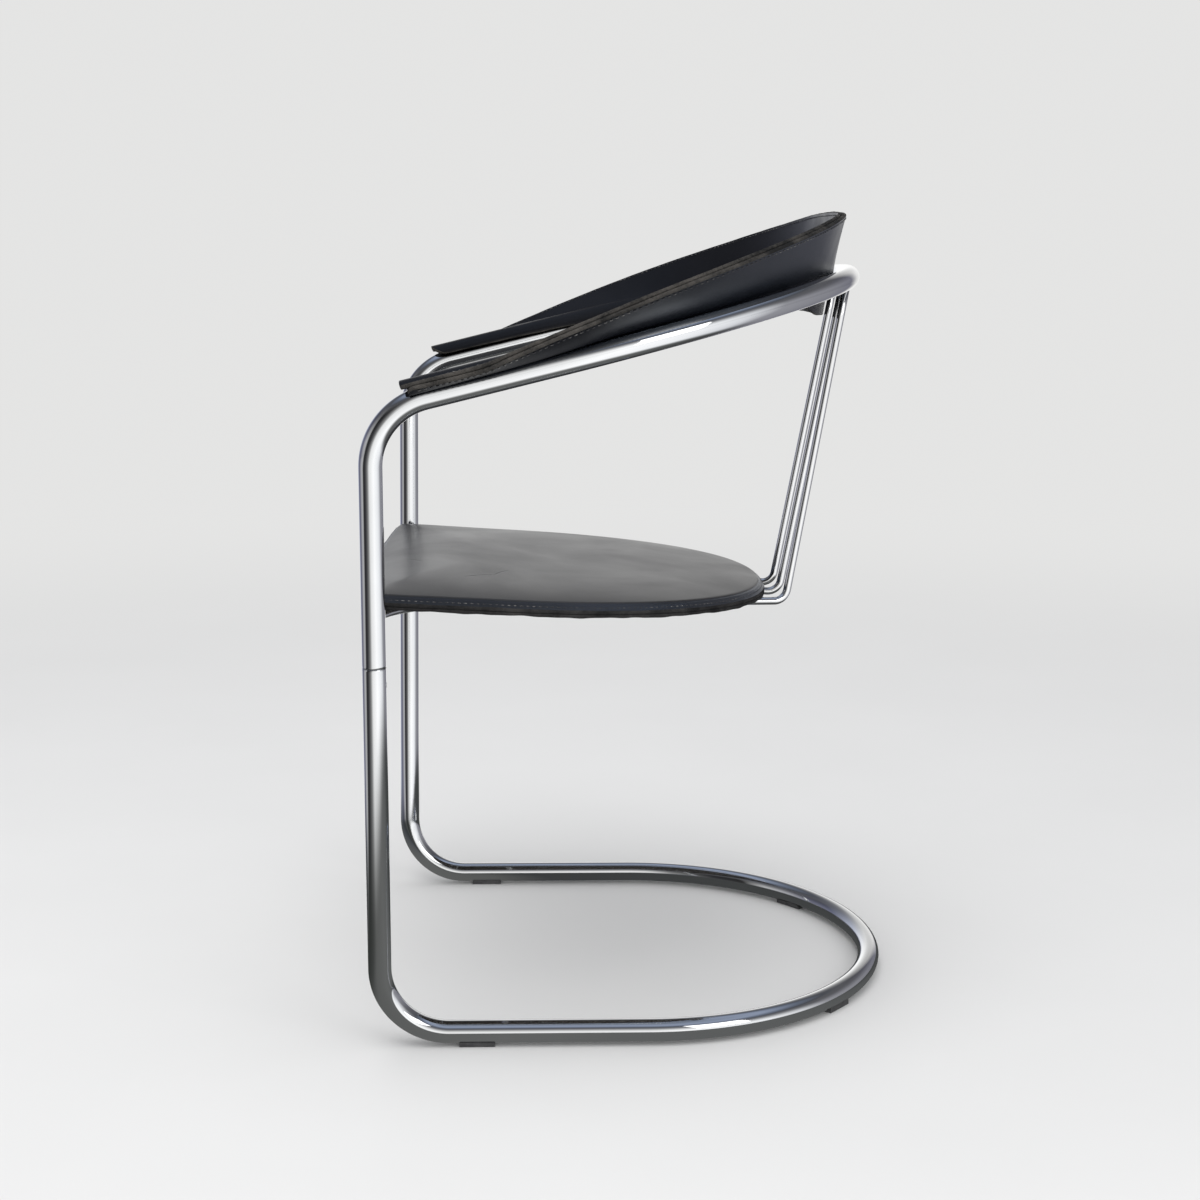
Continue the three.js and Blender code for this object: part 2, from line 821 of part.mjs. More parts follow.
function polar(radius, angle) {
  return new THREE.Vector2(radius * Math.cos(angle), radius * Math.sin(angle));
}

// Sewn edge in the cross-section frame: x outwards, y up
function sewnEdge(share) {
  const middle = share < 0.45 ? edgeReachAtTip : edgeReachAtRear;
  const reach = THREE.MathUtils.lerp(middle, edgeReachAtMiddle, tableValue(reachShares, share));
  const rise = tableValue(edgeRiseShares, share);
  return new THREE.Vector2(reach, THREE.MathUtils.lerp(edgeHeightAtTip, edgeHeightAtRear, rise));
}

const wrapStart = THREE.MathUtils.degToRad(30);
const wrapStartAtRear = THREE.MathUtils.degToRad(155);
const wrapEnd = THREE.MathUtils.degToRad(128);
const wrapEndAtRear = THREE.MathUtils.degToRad(200);
const liningEnd = THREE.MathUtils.degToRad(145);

const plyPitch = backLeather + gap;

// How far the outer ply stands off the tube
function plyStandoff(share) {
  return standoffAtRear * tableValue(standoffShares, share);
}

// Radius of the outer ply's middle line round the tube
function outerPlyRadius(share) {
  return tubeRadius + plyClearance + plyStandoff(share) + backLeather / 2;
}

// Where the outer ply meets the tube, and the way up from there to the sewn edge
function plyRise(share) {
  const wrap = tableValue(wrapShares, share);
  const startAngle = THREE.MathUtils.lerp(wrapStart, wrapStartAtRear, wrap);
  const foot = polar(outerPlyRadius(share), startAngle);
  const edge = sewnEdge(share);
  const rise = edge.clone().sub(foot).normalize();
  const inward = new THREE.Vector2(-rise.y, rise.x);
  return { wrap, startAngle, edge, rise, inward };
}

function wrapPoints(radius, start, end) {
  const points = [];
  for (let i = 0; i <= wrapSteps; i++) {
    points.push(polar(radius, THREE.MathUtils.lerp(start, end, i / wrapSteps)));
  }
  return points;
}

// Middle line of the outer ply: down from the sewn edge and over the top of the tube
function outerPlyLine(share) {
  const { wrap, startAngle, edge, inward } = plyRise(share);
  const seam = edge.clone().addScaledVector(inward, -plyPitch / 2);
  const end = THREE.MathUtils.lerp(wrapEnd, wrapEndAtRear, wrap);
  return [seam, ...wrapPoints(outerPlyRadius(share), startAngle, end)];
}

// Middle line of the lining: down beside the outer ply, over it and past the tube
function liningLine(share) {
  const { wrap, startAngle, edge, rise, inward } = plyRise(share);
  const seam = edge.clone().addScaledVector(inward, plyPitch / 2);
  const liningRadius = outerPlyRadius(share) + backLeather + 2 * gap;
  const beside = polar(outerPlyRadius(share), startAngle).addScaledVector(inward, plyPitch + gap);
  const along = beside.dot(rise);
  const climb = Math.sqrt(along ** 2 - beside.lengthSq() + liningRadius ** 2) - along;
  const start = beside.addScaledVector(rise, climb).angle();
  const end = THREE.MathUtils.lerp(liningEnd, Math.PI, wrap);
  const points = [seam, ...wrapPoints(liningRadius, start, end)];
  const drop = tableValue(dropShares, share);
  const rearLow = new THREE.Vector2(-liningLeanAtRear, -liningDropAtRear);
  const low = points[points.length - 1].clone().lerp(rearLow, drop);
  points.push(low.add(new THREE.Vector2(0, -backLeather / 2)));
  return points;
}

// Shares of the way from the tip to the rear middle, at the same stations as the arm tube
function backShares(startShare) {
  const straight = (armRun - tipSetback) / backHalfLength;
  const shares = [];
  for (let i = 0; i < armStraightSteps; i++) {
    shares.push(THREE.MathUtils.lerp(startShare, straight, i / armStraightSteps));
  }
  for (let i = 0; i <= rearCurveSteps; i++) {
    shares.push(THREE.MathUtils.lerp(straight, 1, i / rearCurveSteps));
  }
  return shares;
}

// A sheet solid through the middle lines at all stations, from one tip to the other
function sheetSolid(lineAt, thickness, startShare) {
  const rows = backShares(startShare).map((share) => ({ share, sign: 1 }));
  const otherSide = rows.slice(0, -1).reverse();
  for (const row of otherSide) rows.push({ share: row.share, sign: -1 });
  const upper = [];
  const lower = [];
  for (const row of rows) {
    const frame = backFrame(row.share);
    const line = lineAt(row.share);
    const place = (p) => {
      const point = frame.centre.clone();
      point.addScaledVector(frame.outward, p.x).addScaledVector(frame.up, p.y);
      return new THREE.Vector3(row.sign * point.x, point.y, point.z);
    };
    line.forEach((p, i) => {
      const before = line[Math.max(i - 1, 0)];
      const after = line[Math.min(i + 1, line.length - 1)];
      const normal = new THREE.Vector2(after.y - before.y, before.x - after.x).normalize();
      upper.push(place(p.clone().addScaledVector(normal, thickness / 2)));
      lower.push(place(p.clone().addScaledVector(normal, -thickness / 2)));
    });
  }
  return gridSolid(upper, lower, rows.length);
}

// A closed solid between two grids of points with the same rows and columns
function gridSolid(upper, lower, rowCount) {
  const columns = upper.length / rowCount;
  const positions = [];
  for (const p of [...upper, ...lower]) positions.push(p.x, p.y, p.z);
  const index = [];
  const quad = (a, b, c, d) => index.push(a, c, b, a, d, c);
  const up = (r, c) => r * columns + c;
  const low = (r, c) => upper.length + r * columns + c;
  for (let r = 0; r < rowCount - 1; r++) {
    for (let c = 0; c < columns - 1; c++) {
      quad(up(r, c), up(r, c + 1), up(r + 1, c + 1), up(r + 1, c));
      quad(low(r, c), low(r + 1, c), low(r + 1, c + 1), low(r, c + 1));
    }
    quad(up(r, 0), up(r + 1, 0), low(r + 1, 0), low(r, 0));
    quad(up(r, columns - 1), low(r, columns - 1), low(r + 1, columns - 1), up(r + 1, columns - 1));
  }
  for (let c = 0; c < columns - 1; c++) {
    quad(up(0, c), low(0, c), low(0, c + 1), up(0, c + 1));
    const last = rowCount - 1;
    quad(up(last, c), up(last, c + 1), low(last, c + 1), low(last, c));
  }
  const geometry = new THREE.BufferGeometry();
  geometry.setAttribute("position", new THREE.Float32BufferAttribute(positions, 3));
  geometry.setIndex(index);
  return toSolid(geometry);
}

// Screws from between the plies into the inside of the tube
function backScrewAxes() {
  const axes = [];
  const stationShares = backShares(0).slice(armStraightSteps);
  for (const station of backScrewStations) {
    const share = stationShares[station];
    const frame = backFrame(share);
    const wrap = tableValue(wrapShares, share);
    const end = THREE.MathUtils.lerp(wrapEnd, wrapEndAtRear, wrap) - backScrewAngle;
    const standoff = plyStandoff(share);
    const place = polar(outerPlyRadius(share) + backLeather / 2 + 2 * gap, end);
    const seat = frame.centre.clone();
    seat.addScaledVector(frame.outward, place.x).addScaledVector(frame.up, place.y);
    const into = frame.centre.clone().sub(seat).normalize();
    axes.push({ seat, into, standoff });
    if (share < 1) {
      axes.push({ seat: mirroredX(seat), into: mirroredX(into), standoff });
    }
  }
  return axes;
}

// Spacer ring between the tube and the ply, round a screw's shank
function spacerSolid(axis) {
  const start = backLeather + 3 * gap + backSpacerEase;
  const near = axis.seat.clone().addScaledVector(axis.into, start);
  const far = near.clone().addScaledVector(axis.into, axis.standoff - gap - backSpacerEase);
  const hole = barSolid(
    near.clone().addScaledVector(axis.into, -overrun),
    far.clone().addScaledVector(axis.into, overrun),
    backScrewShank / 2 + holeClearance,
    smallSides,
  );
  return barSolid(near, far, backSpacerDiameter / 2, smallSides).subtract(hole);
}

function buildBack(screwAxes) {
  let outer = sheetSolid(outerPlyLine, backLeather, mouthSetback / backHalfLength);
  let lining = sheetSolid(liningLine, backLeather, 0);
  screwAxes.forEach((axis, i) => {
    const length = axis.standoff + plyClearance + backLeather + 2 * gap + backScrewBite;
    const start = axis.seat.clone().addScaledVector(axis.into, -overrun);
    const end = axis.seat.clone().addScaledVector(axis.into, length);
    outer = outer.subtract(barSolid(start, end, backScrewShank / 2 + holeClearance, smallSides));
    const headTop = axis.seat.clone().addScaledVector(axis.into, -backScrewHeadHeight - gap);
    lining = lining.subtract(barSolid(headTop, end, backScrewHead / 2 + gap, smallSides));
    const screw = screwSolid(
      axis.seat,
      axis.into,
      backScrewShank,
      length,
      backScrewHead,
      backScrewHeadHeight,
    );
    addPiece(chair, `back_screw_${i + 1}`, screw, steel);
    if (axis.standoff > backSpacerShortest) {
      addPiece(chair, `back_spacer_${i + 1}`, spacerSolid(axis), steel);
    }
  });
  addPiece(chair, "back_outer_leather", outer, leather);
  addPiece(chair, "back_lining_leather", lining, leather);
}

// Glide: a flat pad with a saddle for the tube and a peg into it
function buildGlides() {
  const tubeSpace = sweptSolid(baseStations(), tubeRadius + gap, tubeSides);
  for (const place of glidePlaces()) {
    const pad = new THREE.BoxGeometry(glideWidth, glideLength, glideHeight + glideWrap);
    pad.translate(0, 0, (glideHeight + glideWrap) / 2);
    pad.rotateZ(place.turn);
    pad.translate(place.at.x, place.at.y, 0);
    const low = place.at.clone().setZ(glideHeight / 2);
    const high = place.at.clone().setZ(glideHeight + glidePegRise);
    const glide = toSolid(pad)
      .subtract(tubeSpace)
      .add(barSolid(low, high, glidePeg / 2, smallSides));
    addPiece(chair, `glide_${place.name}`, glide, blackPlastic);
  }
}

seatGroup.updateMatrix();
const screwAxes = backScrewAxes();
buildBaseTube();
buildArmTube(screwAxes);
buildSpigots();
buildRods();
buildSeatBase();
buildSeatPad();
buildSeatCover();
buildClips();
buildClipScrews();
buildBack(screwAxes);
buildGlides();

export default chair;
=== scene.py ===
"""Looks of the cantilever lounge chair. Metres, +Z up, the sitter faces -Y, +X is the sitter's left."""

import math

import bpy
import numpy as np
from mathutils import Matrix, Vector


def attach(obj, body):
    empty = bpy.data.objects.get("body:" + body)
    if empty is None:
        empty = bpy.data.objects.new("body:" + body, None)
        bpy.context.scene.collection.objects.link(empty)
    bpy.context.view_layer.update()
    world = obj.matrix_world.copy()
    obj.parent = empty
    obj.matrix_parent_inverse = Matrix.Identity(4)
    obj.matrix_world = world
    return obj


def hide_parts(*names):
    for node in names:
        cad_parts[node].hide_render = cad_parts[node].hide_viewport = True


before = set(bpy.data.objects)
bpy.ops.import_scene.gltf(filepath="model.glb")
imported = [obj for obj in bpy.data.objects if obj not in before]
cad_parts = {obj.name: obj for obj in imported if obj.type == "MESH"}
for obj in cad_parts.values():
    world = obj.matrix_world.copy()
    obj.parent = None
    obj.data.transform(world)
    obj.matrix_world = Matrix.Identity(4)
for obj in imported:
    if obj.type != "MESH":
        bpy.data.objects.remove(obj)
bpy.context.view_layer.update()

MM = 0.001

# Sizes shared with the solids, in millimetres
GAP = 0.3
TUBE_R = 11.0
TUBE_WALL = 2.0
GLIDE_HEIGHT = 2.0
BASE_HALF = 250.0
BASE_RUN = 257.0
FOOT_BEND = 66.0
LEG_HEIGHT = 599.0
LEG_LEAN = 0.6
SEAM = 363.5
ARM_HALF = 310.0
ARM_RUN = 173.0
ARM_BEND = 65.0
SLOPE = math.radians(14.15)
ROD_R = 4.0
ROD_FRONT_Z = 418.7
ROD_FRONT_INSET = 90.0
ROD_FRONT_BEND = 125.0
ROD_REAR_BEND = 14.0
ROD_RUN = 405.0
ROD_LOW_HALF = 56.0
ROD_TOP_HALF = 42.0
CROSS_ROD_RUN = 115.0
RAKE = math.radians(3.0)
SEAT_LEAD = 14.0
SEAT_BOW = 7.0
LEG_LINE = (SEAT_LEAD + SEAT_BOW - BASE_RUN - BASE_HALF - TUBE_R) / 2
BASE_Z = GLIDE_HEIGHT + TUBE_R

# How finely the tubes and rods are built
TUBE_SIDES = 56
TUBE_STATION = 40.0
ROD_SIDES = 28
ROD_STATION = 30.0
BEND_STEPS = [28, 72, 72, 28]


def vec(*values):
    return np.array(values, float)


def unit(v):
    return v / np.linalg.norm(v)


def lerp(a, b, t):
    return a + (b - a) * t


FOOT = vec(BASE_HALF, LEG_LINE, BASE_Z)
ARM_CORNER = vec(ARM_HALF, LEG_LINE - LEG_LEAN, BASE_Z + LEG_HEIGHT)
LEG_DIR = unit(ARM_CORNER - FOOT)
ARM_DIR = vec(0, math.cos(SLOPE), math.sin(SLOPE))
ARM_UP = vec(0, -math.sin(SLOPE), math.cos(SLOPE))
FLIP = vec(-1, 1, 1)


def leg_point(height, sign):
    """The middle of a leg at a height over its foot: sign is 1 on the left and -1 on the right."""
    return (FOOT + LEG_DIR * (height / LEG_DIR[2])) * vec(sign, 1, 1)


def arm_point(along, sign):
    """The middle of an arm at a distance behind its corner."""
    return (ARM_CORNER + ARM_DIR * along) * vec(sign, 1, 1)


# Mesh helpers

def piece(name, verts, faces, materials, face_slots=None, smooth=True):
    """An object from points in millimetres; face_slots says which of the materials each face has."""
    mesh = bpy.data.meshes.new(name)
    points = [tuple(v * MM) for v in np.asarray(verts, float)]
    mesh.from_pydata(points, [], [tuple(int(i) for i in face) for face in faces])
    for material in materials:
        mesh.materials.append(material)
    mesh.polygons.foreach_set("use_smooth", [smooth] * len(mesh.polygons))
    if face_slots is not None:
        mesh.polygons.foreach_set("material_index", face_slots)
    mesh.update()
    obj = bpy.data.objects.new(name, mesh)
    bpy.context.scene.collection.objects.link(obj)
    return obj


def route(corners, radii, steps):
    """Points and tangents of straight runs joined by arcs."""
    points, tangents = [corners[0]], [unit(corners[1] - corners[0])]
    for i, (radius, count) in enumerate(zip(radii, steps), start=1):
        a = unit(corners[i] - corners[i - 1])
        b = unit(corners[i + 1] - corners[i])
        turn = math.acos(max(-1.0, min(1.0, float(a @ b))))
        start = corners[i] - a * radius * math.tan(turn / 2)
        inward = unit(b - a * (a @ b))
        for k in range(count + 1):
            t = turn * k / count
            p = start + a * radius * math.sin(t) + inward * radius * (1 - math.cos(t))
            if np.linalg.norm(points[-1] - p) > GAP:
                points.append(p)
                tangents.append(a * math.cos(t) + inward * math.sin(t))
    points.append(corners[-1])
    tangents.append(unit(corners[-1] - corners[-2]))
    return points, tangents


def split_long(points, tangents, longest):
    """Adds stations to the straight runs, so that no ring is too far from the next."""
    out_p, out_t = [points[0]], [tangents[0]]
    for i in range(1, len(points)):
        span = np.linalg.norm(points[i] - points[i - 1])
        n = max(1, int(span // longest))
        for k in range(1, n + 1):
            s = k / n
            out_p.append(points[i - 1] * (1 - s) + points[i] * s)
            out_t.append(unit(tangents[i - 1] * (1 - s) + tangents[i] * s))
    return out_p, out_t


def sweep(points, tangents, radii, sides):
    """Rings along a route, carried without twist, with a radius at each station."""
    t0 = tangents[0]
    aside = vec(0, 1, 0) if abs(t0[1]) < 0.8 else vec(1, 0, 0)
    n = unit(aside - t0 * (aside @ t0))
    angles = np.arange(sides) * 2 * math.pi / sides
    rings = []
    for p, t, r in zip(points, tangents, radii):
        n = unit(n - t * (n @ t))
        b = np.cross(t, n)
        rings.append(p + r * (np.outer(np.cos(angles), n) + np.outer(np.sin(angles), b)))
    return rings


def ring_faces(count, rings, closed_ends=True):
    """Quads between rings of as many points each, and a face on both ends."""
    faces = []
    for r in range(rings - 1):
        for i in range(count):
            j = (i + 1) % count
            faces.append((r * count + i, r * count + j, (r + 1) * count + j, (r + 1) * count + i))
    if closed_ends:
        faces.append(tuple(reversed(range(count))))
        last = (rings - 1) * count
        faces.append(tuple(range(last, last + count)))
    return faces


def tube_piece(name, corners, bends):
    """A hollow tube with open ends and a slightly broken outer edge."""
    # how much the edge is broken, where a full ring follows it, and how deep the bore is shown
    broken, full, mouth_depth = 0.35, 2.0, 30.0
    points, tangents = split_long(*route(corners, bends, BEND_STEPS), TUBE_STATION)
    head, tail, t0, t1 = points[0], points[-1], tangents[0], tangents[-1]
    ps = [head, head + t0 * broken, head + t0 * full, *points[1:-1]]
    ps += [tail - t1 * full, tail - t1 * broken, tail]
    ts = [t0] * 3 + tangents[1:-1] + [t1] * 3
    rs = [TUBE_R - broken] + [TUBE_R] * (len(ps) - 2) + [TUBE_R - broken]
    rings = sweep(ps, ts, rs, TUBE_SIDES)
    verts = list(rings)
    faces = ring_faces(TUBE_SIDES, len(rings), closed_ends=False)
    base = len(rings) * TUBE_SIDES
    bore = [TUBE_R - TUBE_WALL] * 2
    for index, inward, flip in ((len(rings) - 1, -t1, False), (0, t0, True)):
        mouth = sweep([ps[index], ps[index] + inward * mouth_depth], [ts[index]] * 2, bore, TUBE_SIDES)
        verts += mouth
        shift = int(np.argmin(np.linalg.norm(mouth[0] - rings[index][0], axis=1)))
        for i in range(TUBE_SIDES):
            j = (i + 1) % TUBE_SIDES
            a, b = index * TUBE_SIDES + i, index * TUBE_SIDES + j
            c, d = base + (j + shift) % TUBE_SIDES, base + (i + shift) % TUBE_SIDES
            e, f = c + TUBE_SIDES, d + TUBE_SIDES
            faces.append((a, d, c, b) if flip else (a, b, c, d))
            faces.append((d, f, e, c) if flip else (d, c, e, f))
        base += 2 * TUBE_SIDES
    return piece(name, np.concatenate(verts), faces, [CHROME])


# Materials

def wire(nt, node, inputs):
    """Gives each named input of a node its value, or a link from the socket that stands for it."""
    for key, value in inputs.items():
        if isinstance(value, bpy.types.NodeSocket):
            nt.links.new(value, node.inputs[key])
        else:
            node.inputs[key].default_value = value
    return node


def add(nt, kind, inputs=None, **settings):
    """A new node with its settings and inputs."""
    node = nt.nodes.new(kind)
    for key, value in settings.items():
        setattr(node, key, value)
    return wire(nt, node, inputs or {})


def nodes_of(name):
    """A new material, its node tree, its shader and its coordinates."""
    material = bpy.data.materials.new(name)
    material.use_nodes = True
    nt = material.node_tree
    return material, nt, nt.nodes["Principled BSDF"], add(nt, "ShaderNodeTexCoord").outputs["Object"]


def noise(nt, co, scale, detail, rough, distortion=0.0):
    values = {"Scale": scale, "Detail": detail, "Roughness": rough, "Distortion": distortion}
    return add(nt, "ShaderNodeTexNoise", {"Vector": co, **values}).outputs["Fac"]


def ramp(nt, source, stops):
    """A ramp with a colour at each (position, colour)."""
    node = add(nt, "ShaderNodeValToRGB", {"Fac": source})
    elements = node.color_ramp.elements
    elements[0].position, elements[1].position = stops[0][0], stops[-1][0]
    for position, _ in stops[1:-1]:
        elements.new(position)
    for element, (_, tone) in zip(elements, stops):
        element.color = (*tone, 1)
    return node.outputs["Color"]


def spread(nt, source, from_low, from_high, to_low=0.0, to_high=1.0, kind="LINEAR"):
    """A value from one span carried over to another."""
    values = {"From Min": from_low, "From Max": from_high, "To Min": to_low, "To Max": to_high}
    node = add(nt, "ShaderNodeMapRange", {"Value": source, **values}, interpolation_type=kind)
    return node.outputs["Result"]


def bump(nt, height, strength, distance, under=None):
    """A bump on top of the one under it."""
    values = {"Height": height, "Strength": strength, "Distance": distance}
    if under is not None:
        values["Normal"] = under
    return add(nt, "ShaderNodeBump", values).outputs["Normal"]


def number(nt, operation, *values):
    return add(nt, "ShaderNodeMath", dict(enumerate(values)), operation=operation).outputs[0]


def axes(nt, vector):
    return add(nt, "ShaderNodeSeparateXYZ", {"Vector": vector}).outputs


def chrome_material(name, base, smooth, smudged):
    material, nt, shader, co = nodes_of(name)
    haze = noise(nt, co, 9.0, 4.0, 0.6)
    smudge = noise(nt, co, 26.0, 5.0, 0.65, 0.6)
    wave = noise(nt, co, 60.0, 2.0, 0.5)
    dulled = [c * 0.93 for c in base]
    wire(nt, shader, {
        "Metallic": 1.0,
        "Base Color": ramp(nt, haze, [(0.3, dulled), (0.75, base)]),
        "Roughness": spread(nt, smudge, 0.35, 0.75, smooth, smudged),
        "Normal": bump(nt, wave, 0.03, 0.0004)})
    return material


# A fold's half width in metres, how it turns and bows, how much of it stays open, and how its ends close
FOLD_WIDTH = 0.0014
FOLD_TURN = 2.6
FOLD_BOW = 0.07
FOLD_OPEN = 0.42
FOLD_CLOSE = 0.35


def crease(nt, co, start, end):
    """Height over a short shallow fold between two points seen from above: 0 in the fold, 1 beside it."""
    length = math.dist(start, end)
    ux, uy = (end[0] - start[0]) / length, (end[1] - start[1]) / length
    x, y, _ = axes(nt, co)
    dx = number(nt, "SUBTRACT", x, start[0])
    dy = number(nt, "SUBTRACT", y, start[1])
    along = number(nt, "ADD", number(nt, "MULTIPLY", dx, ux), number(nt, "MULTIPLY", dy, uy))
    across = number(nt, "SUBTRACT", number(nt, "MULTIPLY", dx, uy), number(nt, "MULTIPLY", dy, ux))
    curve = number(nt, "SINE", number(nt, "MULTIPLY", along, FOLD_TURN / length))
    bow = number(nt, "MULTIPLY", curve, length * FOLD_BOW)
    side = number(nt, "ABSOLUTE", number(nt, "ADD", across, bow))
    past = number(nt, "ABSOLUTE", number(nt, "SUBTRACT", along, length / 2))
    ends = number(nt, "MAXIMUM", number(nt, "SUBTRACT", past, length * FOLD_OPEN), 0.0)
    reach = number(nt, "ADD", side, number(nt, "MULTIPLY", ends, FOLD_CLOSE))
    return spread(nt, reach, 0.0, FOLD_WIDTH)


def leather_material(name, dark, light, roughness, painted_sheen, scales, painted_sheen_tint=(1, 1, 1), ior=1.5, folds=()):
    """Smooth leather; its specular level runs from the first (y, level) to the second, front to rear, a
    painted sheen and shade set by place, and the specular tint colours that painted sheen; scales are of
    cloud and wear.
    """
    material, nt, shader, co = nodes_of(name)
    cloud = noise(nt, co, scales[0], 5.0, 0.6, 0.3)
    wear = noise(nt, co, scales[1], 4.0, 0.55, 0.4)
    fine = noise(nt, co, 420.0, 4.0, 0.6)
    slow = noise(nt, co, 22.0, 3.0, 0.5)
    pores = add(nt, "ShaderNodeTexVoronoi", {"Vector": co, "Scale": 900.0}, feature="DISTANCE_TO_EDGE")
    normal = None
    if folds:
        creases = [crease(nt, co, *fold) for fold in folds]
        lowest = creases[0]
        for other in creases[1:]:
            lowest = number(nt, "MINIMUM", lowest, other)
        normal = bump(nt, lowest, 0.5, 0.0009)
    for height in (pores.outputs["Distance"], fine):
        normal = bump(nt, height, 0.08, 0.0003, normal)
    # painted sheen and shade: the specular level is set by place from front to rear, and the specular tint
    # colours the sheen
    (front, front_painted_sheen), (rear, rear_painted_sheen) = painted_sheen
    _, y, _ = axes(nt, co)
    wire(nt, shader, {
        "Base Color": ramp(nt, cloud, [(0.3, dark), (0.72, light)]),
        "Roughness": spread(nt, wear, 0.3, 0.72, *roughness),
        "Specular IOR Level": spread(nt, y, front, rear, front_painted_sheen, rear_painted_sheen),
        "Specular Tint": (*painted_sheen_tint, 1),
        "IOR": ior,
        "Normal": bump(nt, slow, 0.12, 0.0012, normal)})
    return material


def cut_edge_material(name, dark, light):
    """The fibres of a cut edge, with painted shade that darkens them toward the rear."""
    material, nt, shader, co = nodes_of(name)
    fibre = noise(nt, co, 380.0, 6.0, 0.7, 0.8)
    patch = noise(nt, co, 38.0, 4.0, 0.6)
    _, y, _ = axes(nt, co)
    # painted shade: the cut edge gets darker toward the rear
    painted_rear_shade = spread(nt, y, -0.05, 0.2, 0.0, 0.14)
    tone = number(nt, "SUBTRACT", number(nt, "MULTIPLY_ADD", fibre, 0.6, patch), painted_rear_shade)
    wire(nt, shader, {
        "Base Color": ramp(nt, tone, [(0.6, dark), (1.0, light)]),
        "Roughness": 0.85,
        "Specular IOR Level": 0.3,
        "Normal": bump(nt, fibre, 0.7, 0.0008)})
    return material


def thread_material(name, dark, light):
    """Thread that has kept its light tone only in places."""
    material, nt, shader, co = nodes_of(name)
    strands = noise(nt, co, 700.0, 3.0, 0.6)
    worn = noise(nt, co, 45.0, 2.0, 0.5)
    wire(nt, shader, {
        "Base Color": ramp(nt, number(nt, "MULTIPLY", strands, worn), [(0.23, dark), (0.42, light)]),
        "Roughness": 0.6,
        "Normal": bump(nt, strands, 0.4, 0.0002)})
    return material


def plain_material(name, dark, light, metal, roughness, scale):
    material, nt, shader, co = nodes_of(name)
    cloud = noise(nt, co, scale, 5.0, 0.6)
    wire(nt, shader, {
        "Base Color": ramp(nt, cloud, [(0.3, dark), (0.7, light)]),
        "Roughness": spread(nt, cloud, 0.3, 0.7, *roughness),
        "Metallic": metal,
        "Normal": bump(nt, cloud, 0.25, 0.0003)})
    return material


# Creases in the seat's cover, each from one place on the seat to another, in metres
FOLDS = [
    ((0.158, -0.170), (0.142, -0.141)),
    ((0.142, -0.141), (0.113, -0.126)),
    ((0.066, -0.229), (0.080, -0.217))]

CHROME = chrome_material("chrome_polished", [0.82, 0.83, 0.84], 0.03, 0.10)
ROD_CHROME = chrome_material("chrome_rods", [0.84, 0.84, 0.84], 0.04, 0.12)
STEEL = plain_material("steel_zinc", (0.40, 0.41, 0.43), (0.56, 0.57, 0.58), 1.0, (0.28, 0.5), 120.0)
LINING_LEATHER = leather_material(
    "leather_lining", (0.0036, 0.0038, 0.0052), (0.0072, 0.0076, 0.0098), (0.28, 0.40),
    ((-0.2, 0.26), (0.2, 0.22)), (7.0, 15.0))
# painted sheen: the specular level rises toward the rear and the blue specular tint paints a reflection of
# sky on the back's outer ply
OUTER_LEATHER = leather_material(
    "leather_outer_painted_sheen", (0.0036, 0.004, 0.006), (0.0070, 0.0078, 0.0115), (0.28, 0.40),
    ((-0.06, 0.05), (0.15, 0.56)), (7.0, 15.0), painted_sheen_tint=(0.76, 0.86, 1.0), ior=1.8)
# painted shade: the specular level is lower toward the seat's front, which looks darker there
SEAT_LEATHER = leather_material(
    "leather_seat_painted_shade", (0.015, 0.015, 0.0158), (0.033, 0.0325, 0.033), (0.28, 0.39),
    ((-0.27, 0.32), (-0.06, 0.54)), (5.0, 8.0), folds=FOLDS)
# painted sheen: the specular level rises toward the rear and the blue specular tint paints a blue highlight
# along the hem's roll
HEM_LEATHER = leather_material(
    "leather_hem_painted_sheen", (0.010, 0.010, 0.0115), (0.022, 0.022, 0.024), (0.26, 0.36),
    ((-0.12, 0.28), (0.1, 0.8)), (5.0, 8.0), painted_sheen_tint=(0.74, 0.85, 1.0), ior=1.8)
FLESH = plain_material(
    "leather_flesh_side", (0.018, 0.016, 0.015), (0.055, 0.048, 0.042), 0.0, (0.75, 0.95), 90.0)
CUT = cut_edge_material("leather_cut_edge", (0.010, 0.0098, 0.0095), (0.080, 0.073, 0.065))
SEAT_CUT = cut_edge_material("leather_cut_edge_seat", (0.007, 0.007, 0.0075), (0.042, 0.040, 0.039))
THREAD = thread_material("thread", (0.030, 0.030, 0.034), (0.23, 0.225, 0.215))
PLY = plain_material("plywood", (0.36, 0.24, 0.13), (0.56, 0.40, 0.24), 0.0, (0.5, 0.8), 40.0)
FOAM = plain_material("foam", (0.55, 0.52, 0.42), (0.72, 0.69, 0.58), 0.0, (0.85, 1.0), 500.0)
BLACK = plain_material(
    "plastic_black", (0.045, 0.045, 0.047), (0.09, 0.09, 0.09), 0.0, (0.38, 0.6), 150.0)

# Tubes and rods

base_rear = LEG_LINE + BASE_RUN + BASE_HALF
base_corners = [
    leg_point(SEAM - GAP / 2, 1), FOOT, vec(BASE_HALF, base_rear, BASE_Z),
    vec(-BASE_HALF, base_rear, BASE_Z), FOOT * FLIP, leg_point(SEAM - GAP / 2, -1)]
base_tube = tube_piece("base_tube_chrome", base_corners, [FOOT_BEND, BASE_HALF, BASE_HALF, FOOT_BEND])
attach(base_tube, "root")
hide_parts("base_tube")

